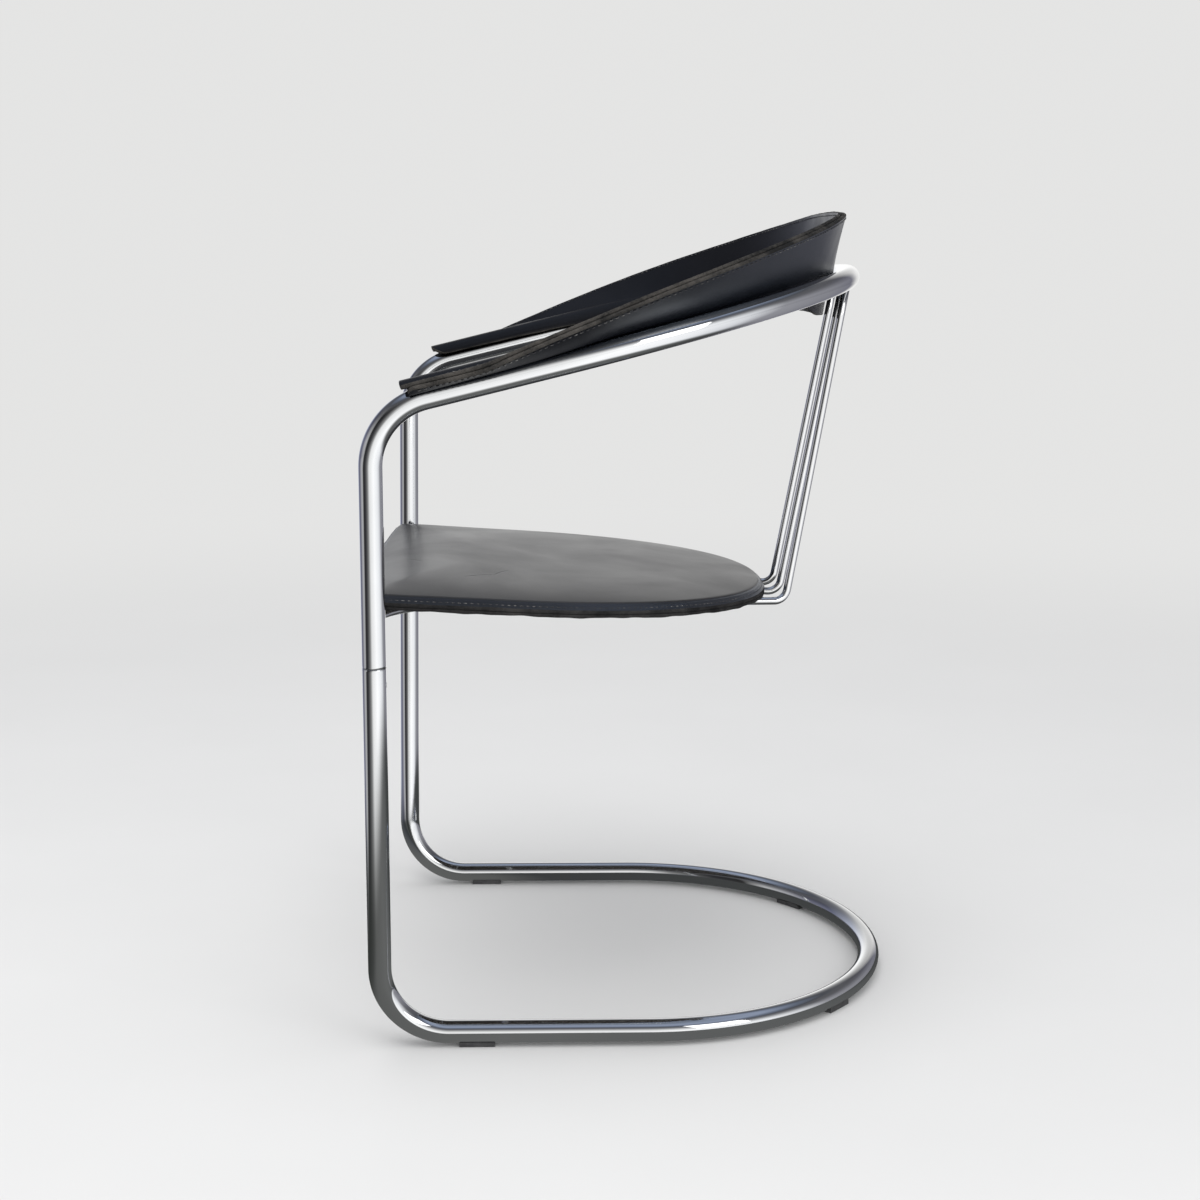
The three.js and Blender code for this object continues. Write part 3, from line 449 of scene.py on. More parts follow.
arm_corners = [
    leg_point(SEAM + GAP / 2, 1), ARM_CORNER, arm_point(ARM_RUN + ARM_HALF, 1),
    arm_point(ARM_RUN + ARM_HALF, -1), ARM_CORNER * FLIP, leg_point(SEAM + GAP / 2, -1)]
arm_tube = tube_piece("arm_tube_chrome", arm_corners, [ARM_BEND, ARM_HALF, ARM_HALF, ARM_BEND])
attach(arm_tube, "root")
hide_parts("arm_tube")


def rod_height(y):
    return ROD_FRONT_Z - (y - LEG_LINE) * math.tan(RAKE)


def rear_arc(x):
    """The middle of the arm tube's rear curve at a place across the chair."""
    p = arm_point(ARM_RUN + math.sqrt(ARM_HALF ** 2 - x * x), 1)
    return vec(x, p[1], p[2])


def rod_corner(x):
    """Where a rod turns up behind the seat."""
    y = LEG_LINE + ROD_RUN
    return vec(x, y, rod_height(y))


def meet(inside, outside):
    """End of a rod inside the wall of the tube that it is welded to."""
    weld_depth = 1.2
    return inside + unit(outside - inside) * (TUBE_R - weld_depth)


def rod_piece(node, corners, bends, steps):
    """A solid rod through its corners, in place of the solid of that name."""
    points, tangents = split_long(*route(corners, bends, steps), ROD_STATION)
    rings = sweep(points, tangents, [ROD_R] * len(points), ROD_SIDES)
    rod = piece(node + "_chrome", np.concatenate(rings), ring_faces(ROD_SIDES, len(rings)), [ROD_CHROME])
    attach(rod, "root")
    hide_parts(node)


# A weld bead's rings: how far past the rod's end each is, and how much wider than the rod
BEAD_RINGS = [(-0.4, -0.6), (0.1, 1.1), (1.0, 1.25), (2.1, 0.7), (3.0, -0.2)]


def weld_bead(name, end, beyond):
    """A small uneven ring of weld round a rod's end."""
    d = unit(beyond - end)
    side = unit(np.cross(d, vec(0.3, 0.2, 1.0)))
    other = np.cross(d, side)
    angles = np.arange(ROD_SIDES) * 2 * math.pi / ROD_SIDES
    uneven = 0.12 * np.sin(5 * angles + 1.7) + 0.08 * np.sin(11 * angles)
    circle = np.outer(np.cos(angles), side) + np.outer(np.sin(angles), other)
    rings = [end + d * offset + (ROD_R + more + uneven)[:, None] * circle for offset, more in BEAD_RINGS]
    bead = piece(name, np.concatenate(rings), ring_faces(ROD_SIDES, len(rings)), [ROD_CHROME])
    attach(bead, "root")


def rod_front(sign):
    """Where a side rod turns back from the leg."""
    return leg_point(ROD_FRONT_Z - BASE_Z, sign) - vec(sign * ROD_FRONT_INSET, 0, 0)


for name, sign in (("left", 1), ("right", -1)):
    front = rod_front(sign)
    corner = rod_corner(sign * ROD_LOW_HALF)
    start = meet(leg_point(ROD_FRONT_Z - BASE_Z, sign), front)
    end = meet(rear_arc(sign * ROD_TOP_HALF), corner)
    rod_piece("seat_rod_" + name, [start, front, corner, end], [ROD_FRONT_BEND, ROD_REAR_BEND], [30, 14])
    weld_bead("weld_top_" + name, end, corner)
    weld_bead("weld_leg_" + name, start, front)

cross_end = lerp(rod_front(1), rod_corner(ROD_LOW_HALF), CROSS_ROD_RUN / ROD_RUN)
rod_piece("seat_cross_rod", [cross_end, cross_end * FLIP], [], [])

corner = rod_corner(0.0)
end = meet(rear_arc(0.0), corner)
rod_piece("seat_rod_centre", [(cross_end + cross_end * FLIP) / 2, corner, end], [ROD_REAR_BEND], [14])
weld_bead("weld_top_centre", end, corner)

# Back: two plies

# How far behind the arm's corner the lining starts, and how long half of it is along the tube
TIP = 32.0
HALF_LENGTH = ARM_RUN - TIP + ARM_HALF * math.pi / 2
# The plies' thickness, how far apart their middles are, and the room between them and the tube, which
# grows by the stand-off to the rear
PLY_T = 4.0
PITCH = PLY_T + GAP
PLY_CLEARANCE = 0.5
STANDOFF = 4.5

# Rows of (share of the way from an arm's tip to the middle of the back, value): the sewn edge's height and
# distance outward from the tube, then how far the plies wrap it and stand off, and how far the lining drops
EDGE_UP = [
    (0, 13.6), (0.12, 14.1), (0.16, 18.3), (0.2, 22.5), (0.28, 30.9), (0.38, 40.3), (0.5, 49.0),
    (0.62, 55.5), (0.74, 60.8), (0.85, 64.2), (1, 66.0)]
EDGE_OUT = [
    (0, 16.9), (0.13, 27.5), (0.25, 28.7), (0.38, 32.0), (0.45, 33.0), (0.51, 33.0), (0.67, 26.3),
    (0.82, 14.5), (1, -1.4)]
WRAP = [
    (0, 0.0), (0.13, 0.07), (0.2, 0.13), (0.26, 0.25), (0.33, 0.48), (0.45, 0.65), (0.7, 0.88), (1, 1.0)]
OFF = [(0, 0.0), (0.4, 0.0), (0.75, 0.7), (1, 1.0)]
DROP = [(0, 0.0), (0.35, 0.03), (0.6, 0.1), (0.7, 0.2), (0.76, 0.55), (0.84, 0.85), (1, 1.0)]

# Where each ply's part round the tube starts and ends at the tip and at the rear, in degrees
WRAP_START = (30.0, 155.0)
OUTER_END = (128.0, 200.0)
LINING_END = (145.0, 180.0)
ARC_STEPS = 12
# A place 2 mm over the lining's lower edge at the rear, outward and up from the tube's middle
LINING_LOW = vec(-36.0, -30.0)


def smooth_table(table, s):
    """Smooth curve through a table of rows (share, value)."""
    xs = [row[0] for row in table]
    ys = [row[1] for row in table]
    s = min(max(s, xs[0]), xs[-1])
    k = max(i for i in range(len(xs) - 1) if xs[i] <= s + 1e-12)

    def slope(i):
        if i == 0:
            return (ys[1] - ys[0]) / (xs[1] - xs[0])
        if i == len(xs) - 1:
            return 0.0
        return (ys[i + 1] - ys[i - 1]) / (xs[i + 1] - xs[i - 1])

    h = xs[k + 1] - xs[k]
    t = (s - xs[k]) / h
    a, b = ys[k], ys[k + 1]
    return ((2 * t ** 3 - 3 * t ** 2 + 1) * a + (t ** 3 - 2 * t ** 2 + t) * h * slope(k)
            + (-2 * t ** 3 + 3 * t ** 2) * b + (t ** 3 - t ** 2) * h * slope(k + 1))


def share_of(table, s):
    return min(max(smooth_table(table, s), 0.0), 1.0)


def back_frame(s):
    """The tube's middle at a share of the way along the left half, and the way out from the sitter."""
    along = TIP + HALF_LENGTH * min(max(s, 0.0), 1.0)
    if along < ARM_RUN:
        return arm_point(along, 1), vec(1, 0, 0)
    a = (along - ARM_RUN) / ARM_HALF
    centre = arm_point(ARM_RUN + ARM_HALF * math.sin(a), 1)
    centre[0] = ARM_HALF * math.cos(a)
    return centre, vec(1, 0, 0) * math.cos(a) + ARM_DIR * math.sin(a)


def polar(r, a):
    return vec(r * math.cos(a), r * math.sin(a))


def arc_points(radius, start, end):
    return [polar(radius, lerp(start, end, i / ARC_STEPS)) for i in range(ARC_STEPS + 1)]


def ply_radius(s):
    """Radius of the outer ply's middle line round the tube."""
    return TUBE_R + PLY_CLEARANCE + STANDOFF * share_of(OFF, s) + PLY_T / 2


def ply_rise(s):
    """The share of wrap, the angle where the plies leave the tube, their sewn edge, the ways up and in."""
    wrap = share_of(WRAP, s)
    start = math.radians(lerp(*WRAP_START, wrap))
    edge = vec(smooth_table(EDGE_OUT, s), smooth_table(EDGE_UP, s))
    rise = unit(edge - polar(ply_radius(s), start))
    return wrap, start, edge, rise, vec(-rise[1], rise[0])


def smooth_corner(points, index, radius, steps):
    """Rounds one corner of a polyline."""
    p, q, r = points[index - 1], points[index], points[index + 1]
    a, b = unit(p - q), unit(r - q)
    size = min(radius, 0.45 * np.linalg.norm(p - q), 0.45 * np.linalg.norm(r - q))
    start, stop = q + a * size, q + b * size
    arc = []
    for k in range(steps + 1):
        t = k / steps
        arc.append((1 - t) ** 2 * start + 2 * t * (1 - t) * q + t * t * stop)
    return points[:index] + arc + points[index + 1:]


def spans_of(points):
    """Length along a polyline up to each of its points."""
    return np.r_[0, np.cumsum(np.linalg.norm(np.diff(points, axis=0), axis=1))]


def sample(points, at, spans=None):
    """Points at lengths along a polyline."""
    points = np.asarray(points)
    spans = spans_of(points) if spans is None else spans
    return np.stack([np.interp(at, spans, points[:, k]) for k in range(points.shape[1])], axis=-1)


def resample(points, count):
    return sample(points, np.linspace(0, spans_of(np.array(points))[-1], count))


def outer_line(s):
    wrap, start, edge, _, inward = ply_rise(s)
    seam = edge - inward * PITCH / 2
    arc = arc_points(ply_radius(s), start, math.radians(lerp(*OUTER_END, wrap)))
    return resample(smooth_corner([seam] + arc, 1, 2.2, 6), 40)


def lining_line(s):
    wrap, start, edge, rise, inward = ply_rise(s)
    radius = ply_radius(s) + PLY_T + 2 * GAP
    seam = edge + inward * PITCH / 2
    beside = polar(ply_radius(s), start) + inward * (PITCH + GAP)
    along = beside @ rise
    climb = math.sqrt(max(along ** 2 - beside @ beside + radius ** 2, 0.0)) - along
    first = beside + rise * climb
    arc = arc_points(radius, math.atan2(first[1], first[0]), math.radians(lerp(*LINING_END, wrap)))
    low = lerp(arc[-1], LINING_LOW, share_of(DROP, s)) + vec(0, -2.0)
    points = smooth_corner([seam] + arc, 1, 3.0, 6)
    points.append(low)
    points = smooth_corner(points, len(points) - 2, 6.0, 5)
    return resample(points, 46)


def wobble(x, seed):
    """Slow unevenness between -1 and 1."""
    waves = ((1.0, 1.0, 1.0), (0.6, 2.7, 1.3), (0.35, 6.1, 2.1))
    return sum(size * math.sin(x * speed + shift * seed) for size, speed, shift in waves) / 1.95


def tip_trim(distance, radius):
    """How much a rounded corner takes off the ply's edge, at a distance from its cut end."""
    if distance >= radius:
        return 0.0
    return radius * (1 - math.sqrt(1 - (1 - distance / radius) ** 2))


def trimmed(line, head, tail):
    """The same number of points on the part of a line between two trimmed lengths."""
    return sample(line, np.linspace(head, spans_of(line)[-1] - tail, len(line)))


# A cut edge's section: (share of the thickness across it, millimetres out from it)
EDGE_PROFILE = [(0.0, -0.8), (0.1, -0.05), (0.33, 0.32), (0.67, 0.32), (0.9, -0.05), (1.0, -0.8)]
EDGE_POINTS = len(EDGE_PROFILE)
# Sections near a ply's cut end, by distance from it, and how many more there are to the middle of the back
TIP_STEPS = [0.0, 0.3, 0.8, 1.7, 3.0, 4.8, 7.0, 10.0, 13.5]
PLY_STATIONS = 150
# The rounded corner between a ply's cut end and its sewn edge
EDGE_CORNER = 7.0


def rounded_section(line, half_t):
    """A closed loop round a line: a rounded cut edge, the front face, a rounded cut edge, the back face."""
    tangent = np.gradient(line, axis=0)
    tangent /= np.linalg.norm(tangent, axis=1)[:, None]
    normal = np.stack([tangent[:, 1], -tangent[:, 0]], axis=1)
    front = line + normal * half_t
    back = line - normal * half_t
    edges = [
        [near + (far - near) * across + out * lift for across, lift in EDGE_PROFILE]
        for near, far, out in ((back[0], front[0], -tangent[0]), (front[-1], back[-1], tangent[-1]))]
    return np.array(edges[0] + list(front[1:-1]) + edges[1] + list(back[1:-1][::-1]))


def ply_ring(line_at, d, start, inner_corner, sign, seed):
    """The ply's section at a distance from its cut end."""
    s = (start + d) / HALF_LENGTH
    centre, outward = back_frame(s)
    line = trimmed(line_at(s), tip_trim(d, EDGE_CORNER), tip_trim(d, inner_corner))
    # the cut edges wander a little
    position = s * HALF_LENGTH * 0.05 * sign
    line[0] -= unit(line[1] - line[0]) * 0.25 * wobble(position, seed)
    line[-1] += unit(line[-1] - line[-2]) * 0.5 * wobble(position * 0.8, seed + 4)
    # and the end is a little thinner
    thickness = PLY_T * (0.82 + 0.18 * min(d / 0.8, 1.0))
    loop = rounded_section(line, thickness / 2)
    points = centre + np.outer(loop[:, 0], outward) + np.outer(loop[:, 1], ARM_UP)
    points[:, 0] *= sign
    return points


def ply_piece(name, line_at, start, inner_corner, seed, node, leather):
    """A ply of thick leather with rounded cut edges and rounded tips, from one tip to the other."""
    distances = TIP_STEPS + list(np.linspace(TIP_STEPS[-1] + 2.0, HALF_LENGTH - start, PLY_STATIONS))
    rows = [(d, 1.0) for d in distances] + [(d, -1.0) for d in reversed(distances[:-1])]
    rings = [ply_ring(line_at, d, start, inner_corner, sign, seed) for d, sign in rows]
    count = len(rings[0])
    side = count // 2
    faces, slots = [], []
    for r in range(len(rings) - 1):
        for i in range(count):
            j = (i + 1) % count
            faces.append((r * count + i, (r + 1) * count + i, (r + 1) * count + j, r * count + j))
            slots.append(1 if i % side < EDGE_POINTS - 1 else 0)
    # the cut ends at the two tips
    front_ids = list(range(EDGE_POINTS - 1, side + 1))
    back_ids = [0] + list(range(count - 1, side + EDGE_POINTS - 2, -1))
    caps = list(zip(front_ids[:-1], front_ids[1:], back_ids[1:], back_ids[:-1]))
    caps += [tuple(range(EDGE_POINTS)), tuple(range(side, side + EDGE_POINTS))]
    for base, flip in ((0, False), ((len(rings) - 1) * count, True)):
        for ids in caps:
            polygon = tuple(base + i for i in ids)
            faces.append(polygon[::-1] if flip else polygon)
            slots.append(1)
    obj = piece(name, np.concatenate(rings), faces, [leather, CUT], slots)
    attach(obj, "root")
    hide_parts(node)


ply_piece(
    "back_outer_ply", outer_line, start=6.0, inner_corner=16.0, seed=1.3,
    node="back_outer_leather", leather=OUTER_LEATHER)
ply_piece(
    "back_lining_ply", lining_line, start=0.0, inner_corner=20.0, seed=3.1,
    node="back_lining_leather", leather=LINING_LEATHER)

# Seat

SEAT_FRONT = LEG_LINE - SEAT_LEAD
SEAT_ORIGIN = vec(0, SEAT_FRONT, rod_height(SEAT_FRONT) + (ROD_R + GAP) / math.cos(RAKE))
# Its outline: half widths at the front and where the rear curve starts, how far back that is, how far the
# curve runs on from there and how full it is, and the front corners
SEAT_FRONT_HALF = 250.0
SEAT_HALF = 246.0
SIDE_RUN = 124.0
REAR_RUN = 278.0
REAR_FULLNESS = 2.22
SEAT_CORNER = 20.0
OUTLINE_POINTS = 360
# Its rim's height over its underside, the rise from there to the middle, and the width of the sloping hem
RIM = 13.0
CROWN = 9.0
HEM = 6.0


def seat_place(points):
    """From the seat's own axes, in which it lies flat, to the chair's."""
    points = np.asarray(points, float)
    c, s = math.cos(-RAKE), math.sin(-RAKE)
    out = points.copy()
    out[:, 1] = points[:, 1] * c - points[:, 2] * s
    out[:, 2] = points[:, 1] * s + points[:, 2] * c
    return out + SEAT_ORIGIN


def seat_outline():
    """The seat's outline in even steps, from the middle of the front round by the left side."""
    bow_r = (SEAT_FRONT_HALF ** 2 + SEAT_BOW ** 2) / (2 * SEAT_BOW)
    half = []
    for x in np.linspace(0.0, SEAT_FRONT_HALF - SEAT_CORNER, 30):
        half.append((x, bow_r - math.sqrt(bow_r ** 2 - x * x) - SEAT_BOW))
    p, q, r = vec(*half[-1]), vec(SEAT_FRONT_HALF, 0.0), vec(SEAT_FRONT_HALF, SEAT_CORNER)
    for t in np.linspace(0.0, 1.0, 11)[1:]:
        half.append((1 - t) ** 2 * p + 2 * t * (1 - t) * q + t * t * r)
    for t in np.linspace(0.0, 1.0, 26)[1:-1]:
        half.append((lerp(SEAT_FRONT_HALF, SEAT_HALF, t * t * (3 - 2 * t)), lerp(SEAT_CORNER, SIDE_RUN, t)))
    power = 2 / REAR_FULLNESS
    for a in np.linspace(0.0, math.pi / 2, 161):
        half.append((SEAT_HALF * math.cos(a) ** power, SIDE_RUN + REAR_RUN * math.sin(a) ** power))
    half = np.array(half)
    half[-1, 0] = 0.0
    closed = np.concatenate([half, (half[1:-1] * [-1, 1])[::-1], half[:1]])
    return sample(closed, np.linspace(0, spans_of(closed)[-1], OUTLINE_POINTS + 1)[:-1])


def outward_normals(loop):
    """Unit normals of a closed outline, each square to the line between its point's neighbours."""
    along = np.roll(loop, -1, axis=0) - np.roll(loop, 1, axis=0)
    normals = np.stack([along[:, 1], -along[:, 0]], axis=1)
    return normals / np.linalg.norm(normals, axis=1)[:, None]


OUTLINE = seat_outline()
NORMALS = outward_normals(OUTLINE)
MIDDLE = vec(0.0, SIDE_RUN)


def edge_ring(inset, height, ripple=0.0, seed=0.0):
    """A ring inside the seat's outline, which rises and falls a little by the ripple."""
    k = np.arange(OUTLINE_POINTS) * 2 * math.pi / OUTLINE_POINTS
    wave = (np.sin(17 * k + seed) + 0.7 * np.sin(41 * k + 2 * seed) + 0.5 * np.sin(73 * k + seed)) / 2.2
    return np.column_stack([OUTLINE - NORMALS * inset, height + ripple * wave])


def cover_ring(share):
    """A ring of the crowned top, at a share of the way from its middle to the crease at its rim."""
    flat = MIDDLE + (OUTLINE - NORMALS * HEM - MIDDLE) * share
    x, y = flat.T
    # slow unevenness of a sat-in seat
    sag = -1.1 * np.exp(-((x / 120.0) ** 2 + ((y - 190.0) / 95.0) ** 2))
    waves = 0.35 * np.sin(x / 57.0 + 0.8) * np.sin(y / 44.0)
    return np.column_stack([flat, RIM + CROWN * (1 - share ** 4) + (sag + waves) * (1 - share ** 6)])


# Rings of the cover: shares on its top, then rows of (inset, height, ripple, seed). At the rim is a crease,
# from which the hem slopes down to its cut edge
TOP_SHARES = [
    0.04, 0.12, 0.22, 0.32, 0.42, 0.52, 0.61, 0.69, 0.76, 0.82, 0.87, 0.91, 0.94, 0.965, 0.98, 0.99]
HEM_ROWS = [
    (HEM + 0.7, RIM - 0.5), (HEM + 0.25, RIM - 1.3), (HEM - 0.3, RIM - 1.2),
    (HEM - 1.0, RIM - 1.5, 0.15, 1.0), (HEM - 2.4, RIM - 3.1, 0.2, 1.5), (1.8, 8.3, 0.2, 2.0),
    (0.7, 6.9, 0.25, 2.0)]
CUT_ROWS = [(0.15, 6.2, 0.4, 2.5), (0.0, 4.9, 0.35, 3.0), (0.1, 3.9, 0.3, 3.4), (0.6, 3.35, 0.1, 3.4)]
UNDER_ROW = (8.0, 3.35)

# The same for the second ply, from under the cover round its cut edge to the underside
BOTTOM_ROWS = [
    (8.0, 3.0), (0.5, 3.0, 0.1, 5.0), (0.05, 2.6, 0.3, 5.5), (-0.2, 1.3, 0.7, 6.0), (0.2, 0.1, 0.9, 6.5),
    (0.9, -0.2, 0.7, 6.5), (4.0, 0.0), (60.0, 0.0)]


def seat_ply(name, rings, band_slots, centre, closes_first, materials):
    """A ply of the seat: bands between its rings, and its first or last ring closed round a centre."""
    n = OUTLINE_POINTS
    mid = len(rings) * n
    last = mid - n
    faces, slots = [], []
    for r, slot in enumerate(band_slots):
        for i in range(n):
            j = (i + 1) % n
            faces.append((r * n + i, (r + 1) * n + i, (r + 1) * n + j, r * n + j))
            slots.append(slot)
    for i in range(n):
        j = (i + 1) % n
        faces.append((mid, i, j) if closes_first else (mid, last + j, last + i))
        slots.append(0)
    verts = np.concatenate([*rings, [centre]])
    return piece(name, seat_place(verts), faces, materials, slots)


cover_rings = [cover_ring(share) for share in TOP_SHARES]
cover_rings += [edge_ring(*row) for row in [*HEM_ROWS, *CUT_ROWS, UNDER_ROW]]
cover_slots = [0] * len(TOP_SHARES) + [2] * (len(HEM_ROWS) - 1) + [1] * len(CUT_ROWS) + [0]
cover_leathers = [SEAT_LEATHER, SEAT_CUT, HEM_LEATHER]
seat_cover = seat_ply("seat_cover", cover_rings, cover_slots, cover_ring(0.0)[0], True, cover_leathers)
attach(seat_cover, "root")
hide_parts("seat_cover_leather", "seat_pad")

bottom_rings = [edge_ring(*row) for row in BOTTOM_ROWS]
bottom_slots = [0] + [1] * (len(BOTTOM_ROWS) - 4) + [0] * 2
bottom_leathers = [FLESH, SEAT_CUT]
bottom_ply = seat_ply("seat_bottom_ply", bottom_rings, bottom_slots, vec(*MIDDLE, 0), False, bottom_leathers)
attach(bottom_ply, "root")
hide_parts("seat_bottom_leather")

# Stitches

STITCH_SIDES = 6
STITCH_STATIONS = 7
# How far below the back's sewn edge the stitches are, and the step along a line that gives its direction
STITCH_DEPTH = 3.6
LINE_STEP = 0.5


def stitch(centre, along, outward, length, radius):
    """One short stitch: a thread that dips into the leather at both ends."""
    up = unit(outward - along * (outward @ along))
    angles = np.arange(STITCH_SIDES) * 2 * math.pi / STITCH_SIDES
    circle = np.outer(np.cos(angles), np.cross(along, up)) + np.outer(np.sin(angles), up)
    rings = []
    for t in np.linspace(-1.0, 1.0, STITCH_STATIONS):
        middle = centre + along * (t * length / 2) + up * radius * (0.55 - 1.5 * t ** 4)
        rings.append(middle + radius * (1 - 0.35 * t ** 4) * circle)
    return np.concatenate(rings)


def stitch_row(name, samples, length, pitch, radius):
    """Stitches along a dense list of (point, outward normal)."""
    points = np.array([point for point, _ in samples])
    normals = np.array([normal for _, normal in samples])
    spans = spans_of(points)
    count = int(spans[-1] // pitch)
    one = ring_faces(STITCH_SIDES, STITCH_STATIONS)
    verts, faces = [], []
    for k in range(count):
        at = (k + 0.5) * spans[-1] / count
        centre = sample(points, at, spans)
        along = unit(sample(points, at + LINE_STEP, spans) - sample(points, at - LINE_STEP, spans))
        outward = unit(sample(normals, at, spans))
        verts.append(stitch(centre, along, outward, length * (1 + 0.08 * math.sin(k * 2.3)), radius))
        base = k * STITCH_SIDES * STITCH_STATIONS
        faces += [tuple(base + i for i in face) for face in one]
    obj = piece(name, np.concatenate(verts), faces, [THREAD])
    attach(obj, "root")


def ply_surface(line_at, s, sign, side):
    """Point and normal on a ply's face, as deep below the sewn edge as the stitches are."""
    p, q = sample(line_at(s), [STITCH_DEPTH, STITCH_DEPTH + LINE_STEP])
    t = unit(q - p)
    normal = vec(t[1], -t[0]) * side
    p = p + normal * PLY_T / 2
    centre, outward = back_frame(s)
    mirror = vec(sign, 1, 1)
    point = (centre + outward * p[0] + ARM_UP * p[1]) * mirror
    return point, (outward * normal[0] + ARM_UP * normal[1]) * mirror


def ply_samples(line_at, side):
    shares = np.linspace(0.022, 1.0, 151)
    rows = [(s, 1.0) for s in shares] + [(s, -1.0) for s in shares[-2::-1]]
    return [ply_surface(line_at, s, sign, side) for s, sign in rows]


def hem_samples():
    """Points and normals round the seat, on the slope of its hem."""
    high = seat_place(edge_ring(HEM - 3.1, RIM - 4.0))
    low = seat_place(edge_ring(HEM - 4.1, RIM - 5.1))
    samples = []
    for i in range(OUTLINE_POINTS + 1):
        k = i % OUTLINE_POINTS
        normal = unit(np.cross(high[(k + 1) % OUTLINE_POINTS] - high[k - 1], low[k] - high[k]))
        samples.append((high[k], normal if normal[2] > 0 else -normal))
    return samples


stitch_row("back_stitches_outside", ply_samples(outer_line, -1.0), length=3.6, pitch=5.6, radius=0.52)
stitch_row("back_stitches_inside", ply_samples(lining_line, 1.0), length=3.6, pitch=5.6, radius=0.52)
stitch_row("seat_stitches", hem_samples(), length=3.8, pitch=5.8, radius=0.42)

# Carried-over solids


def material_of(name):
    if name.startswith("glide"):
        return BLACK
    return {"seat_board": PLY, "seat_pad": FOAM}.get(name, STEEL)


for name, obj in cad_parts.items():
    obj.data.materials.clear()
    obj.data.materials.append(material_of(name))

# Floor, light and camera

scene = bpy.context.scene
BACKGROUND = (0.78, 0.78, 0.775, 1)
FLOOR_HALF = 9000.0
# Metres from the chair's middle over which the floor fades, and over which its painted reflection gets
# lighter, from painted shade to room tones
FLOOR_FADE = (0.35, 3.8)
MIRROR_FADE = (0.52, 1.0)

# What polished metal mirrors round the room, by azimuth in degrees from +X: an opening on the camera's
# side, a dark edge beside it, and pale walls behind
SIDES = [
    (-180, (1.20, 1.20, 1.19)), (-152, (0.52, 0.55, 0.66)), (-128, (0.16, 0.17, 0.24)),
    (-108, (0.18, 0.18, 0.24)), (-94, (0.40, 0.40, 0.43)), (-76, (0.52, 0.52, 0.53)),
    (-68, (0.26, 0.26, 0.26)), (-63, (0.03, 0.03, 0.03)), (-46, (0.04, 0.04, 0.045)),
    (-34, (0.12, 0.12, 0.12)), (-22, (0.30, 0.30, 0.30)), (-9, (0.95, 0.95, 0.94)),
    (24, (1.25, 1.25, 1.25)), (58, (1.05, 1.06, 1.08)), (76, (0.80, 0.81, 0.84)),
    (92, (0.34, 0.34, 0.37)), (124, (0.26, 0.26, 0.29)), (145, (0.20, 0.20, 0.24)),
    (156, (0.85, 0.84, 0.83)), (180, (1.20, 1.20, 1.19))]
# The same by height over the horizon, in degrees
LEVELS = [
    (-90, (0.7, 0.7, 0.7)), (-8, (0.85, 0.85, 0.85)), (8, (1.0, 1.0, 1.0)), (20, (0.66, 0.66, 0.66)),
    (31, (0.26, 0.26, 0.27)), (42, (0.10, 0.105, 0.12)), (50, (0.145, 0.168, 0.22)),
    (60, (0.31, 0.36, 0.475)), (72, (0.27, 0.315, 0.41)), (86, (0.175, 0.205, 0.265))]


def blend_colours(nt, kind, weight, first, second):
    """A colour Mix node; its colour sockets share their names with others, so they are picked by index."""
    values = {0: weight, 6: first, 7: second}
    return add(nt, "ShaderNodeMix", values, data_type="RGBA", blend_type=kind).outputs[2]


def mix_shaders(nt, weight, first, second):
    return add(nt, "ShaderNodeMixShader", {0: weight, 1: first, 2: second}).outputs[0]


def tone_round(nt, direction):
    """The mirrored tone at a direction's azimuth."""
    x, y, _ = axes(nt, direction)
    turn = number(nt, "MULTIPLY_ADD", number(nt, "ARCTAN2", y, x), 1 / (2 * math.pi), 0.5)
    return ramp(nt, turn, [(azimuth / 360.0 + 0.5, tone) for azimuth, tone in SIDES])


def make_floor():
    """A pale floor that keeps the shadow near the chair and fades into the background far from it; glossy
    rays see it glow with a painted reflection and painted shade.
    """
    material, nt, shader, co = nodes_of("floor_pale")
    cloud = noise(nt, co, 3.0, 3.0, 0.5)
    wire(nt, shader, {
        "Base Color": ramp(nt, cloud, [(0.3, (0.735, 0.73, 0.72)), (0.7, (0.75, 0.745, 0.735))]),
        "Roughness": 0.8,
        "Specular IOR Level": 0.2})
    far = add(nt, "ShaderNodeVectorMath", {0: co}, operation="LENGTH").outputs["Value"]
    ray = add(nt, "ShaderNodeLightPath").outputs
    seen = number(nt, "MULTIPLY", ray["Is Camera Ray"], spread(nt, far, *FLOOR_FADE, kind="SMOOTHERSTEP"))
    glow = add(nt, "ShaderNodeEmission", {"Color": BACKGROUND})
    pale = mix_shaders(nt, seen, shader.outputs[0], glow.outputs[0])
    # for glossy rays the floor glows with a painted reflection: painted shade close by the chair, and
    # painted room tones by azimuth, standing for the lit floor, further off; polished metal mirrors that
    from_legs = add(nt, "ShaderNodeVectorMath", {0: co, 1: (0.0, -LEG_LINE * MM, 0.0)}, operation="ADD")
    room = tone_round(nt, from_legs.outputs["Vector"])
    painted_near_shade = blend_colours(nt, "MIX", 0.09, (0.040, 0.043, 0.040, 1), room)
    near_or_far = spread(nt, far, *MIRROR_FADE, kind="SMOOTHERSTEP")
    mirrored = add(nt, "ShaderNodeEmission", {"Color": blend_colours(nt, "MIX", near_or_far, painted_near_shade, room)})
    surface = mix_shaders(nt, ray["Is Glossy Ray"], pale, mirrored.outputs[0])
    wire(nt, nt.nodes["Material Output"], {"Surface": surface})
    corners = [(-1, -1, 0), (1, -1, 0), (1, 1, 0), (-1, 1, 0)]
    piece("floor", np.array(corners) * FLOOR_HALF, [(0, 1, 2, 3)], [material], smooth=False)


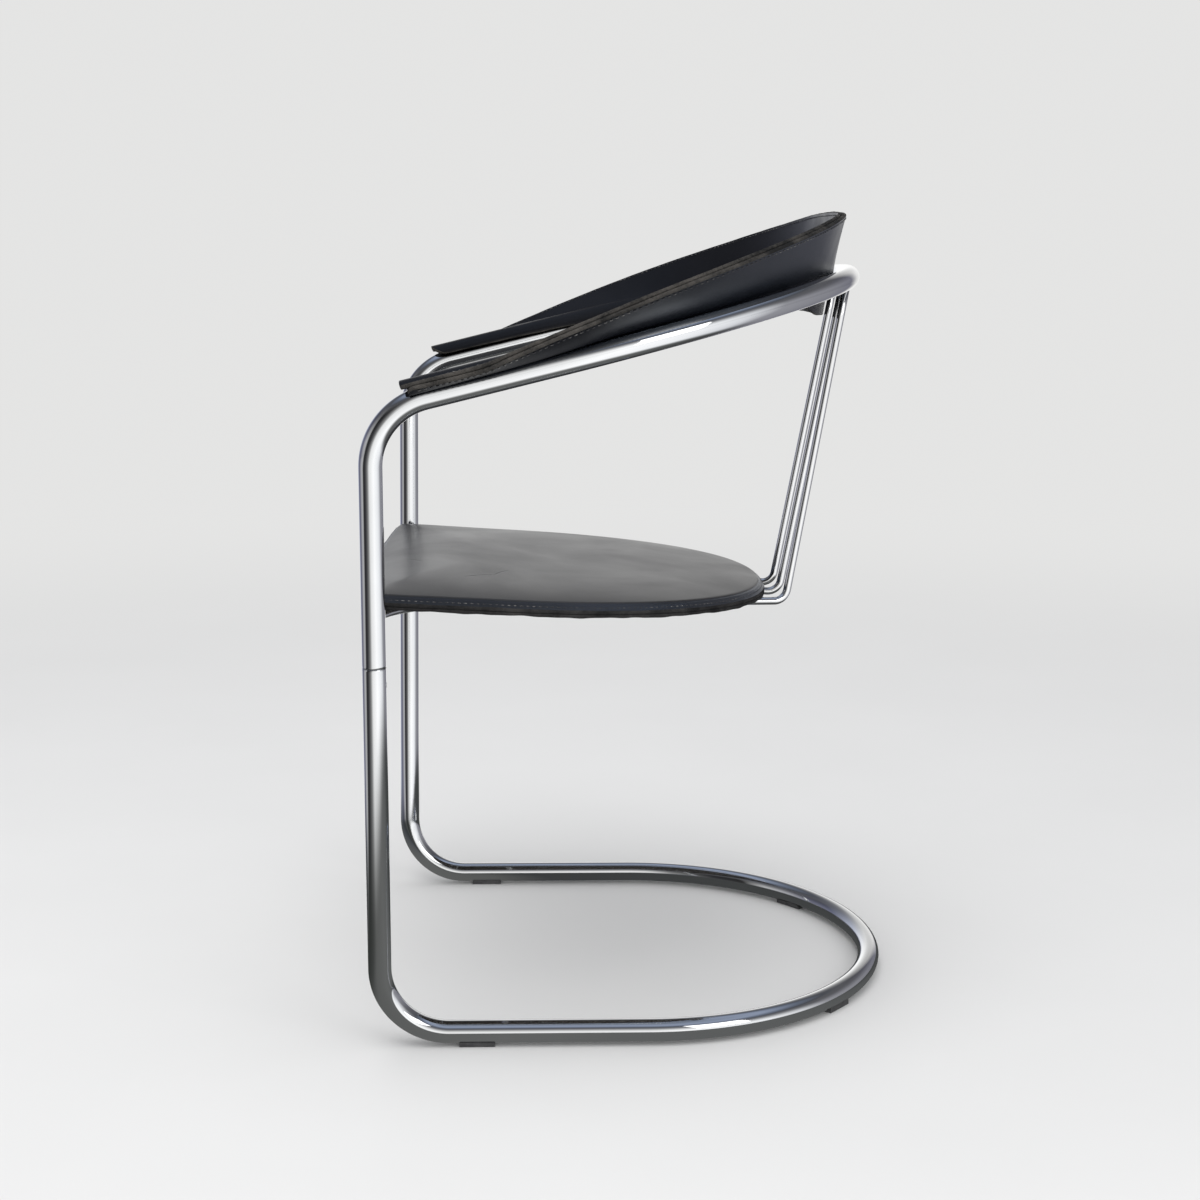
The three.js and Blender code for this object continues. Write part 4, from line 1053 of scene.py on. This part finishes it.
def make_world():
    """A soft even dome of light; polished metal mirrors a room in it, the camera sees a pale background."""
    world = bpy.data.worlds.new("studio")
    scene.world = world
    world.use_nodes = True
    nt = world.node_tree
    nt.nodes.clear()
    direction = add(nt, "ShaderNodeTexCoord").outputs["Generated"]
    _, _, z = axes(nt, direction)
    height = number(nt, "MULTIPLY_ADD", z, 0.5, 0.5)
    levels = ramp(nt, height, [(0.5 + 0.5 * math.sin(math.radians(up)), tone) for up, tone in LEVELS])
    # the sides count fully at the horizon and not at all overhead
    low = number(nt, "SUBTRACT", 1.0, spread(nt, z, 0.35, 0.85, kind="SMOOTHERSTEP"))
    room = blend_colours(nt, "MULTIPLY", low, levels, tone_round(nt, direction))
    mirrored = add(nt, "ShaderNodeBackground", {"Color": room})
    dome = add(nt, "ShaderNodeBackground", {"Color": (0.80, 0.81, 0.83, 1)})
    seen = add(nt, "ShaderNodeBackground", {"Color": BACKGROUND})
    ray = add(nt, "ShaderNodeLightPath").outputs
    surface = mix_shaders(nt, ray["Is Glossy Ray"], dome.outputs[0], mirrored.outputs[0])
    surface = mix_shaders(nt, ray["Is Camera Ray"], surface, seen.outputs[0])
    add(nt, "ShaderNodeOutputWorld", {"Surface": surface})


def area_light(name, position, target, width, height, power):
    data = bpy.data.lights.new(name, "AREA")
    data.shape = "RECTANGLE"
    data.size = width
    data.size_y = height
    data.energy = power
    obj = bpy.data.objects.new(name, data)
    scene.collection.objects.link(obj)
    obj.location = position
    obj.rotation_euler = (Vector(target) - Vector(position)).to_track_quat("-Z", "Y").to_euler()
    return obj


# The photograph's camera, as fitted: place in metres, turns in radians, the rest in the picture's pixels
CAMERA_PLACE = (2.1078, -0.1118, 0.7580)
CAMERA_YAW = 0.03756
CAMERA_PITCH = 0.14392
CAMERA_ROLL = 0.006527
PHOTO_WIDTH = 1200.0
FOCAL_LENGTH = 2027.75
LENS_SHIFT = -60.0


def place_camera():
    """A camera that looks toward -X, turned by the yaw, then tilted down by the pitch, then rolled."""
    ahead = vec(-math.cos(CAMERA_YAW), math.sin(CAMERA_YAW), 0)
    aside = vec(math.sin(CAMERA_YAW), math.cos(CAMERA_YAW), 0)
    above = vec(0, 0, 1)
    look = ahead * math.cos(CAMERA_PITCH) - above * math.sin(CAMERA_PITCH)
    tilted = above * math.cos(CAMERA_PITCH) + ahead * math.sin(CAMERA_PITCH)
    right = aside * math.cos(CAMERA_ROLL) + tilted * math.sin(CAMERA_ROLL)
    up = tilted * math.cos(CAMERA_ROLL) - aside * math.sin(CAMERA_ROLL)
    data = bpy.data.cameras.new("camera")
    data.sensor_width = 36.0
    data.lens = data.sensor_width * FOCAL_LENGTH / PHOTO_WIDTH
    data.shift_y = LENS_SHIFT / PHOTO_WIDTH
    data.clip_start = 0.05
    data.clip_end = 60.0
    camera = bpy.data.objects.new("camera", data)
    scene.collection.objects.link(camera)
    camera.matrix_world = Matrix([*zip(right, up, -look, CAMERA_PLACE), (0, 0, 0, 1)])
    scene.camera = camera


make_floor()
make_world()
key = area_light("key_above", (0.6, -0.6, 2.6), (0, 0, 0.4), 2.4, 2.0, 32.0)
key.visible_glossy = False
area_light("side_window", (2.2, 1.6, 1.6), (0, 0, 0.45), 1.3, 1.5, 13.0)
place_camera()
scene.view_settings.view_transform = "Standard"
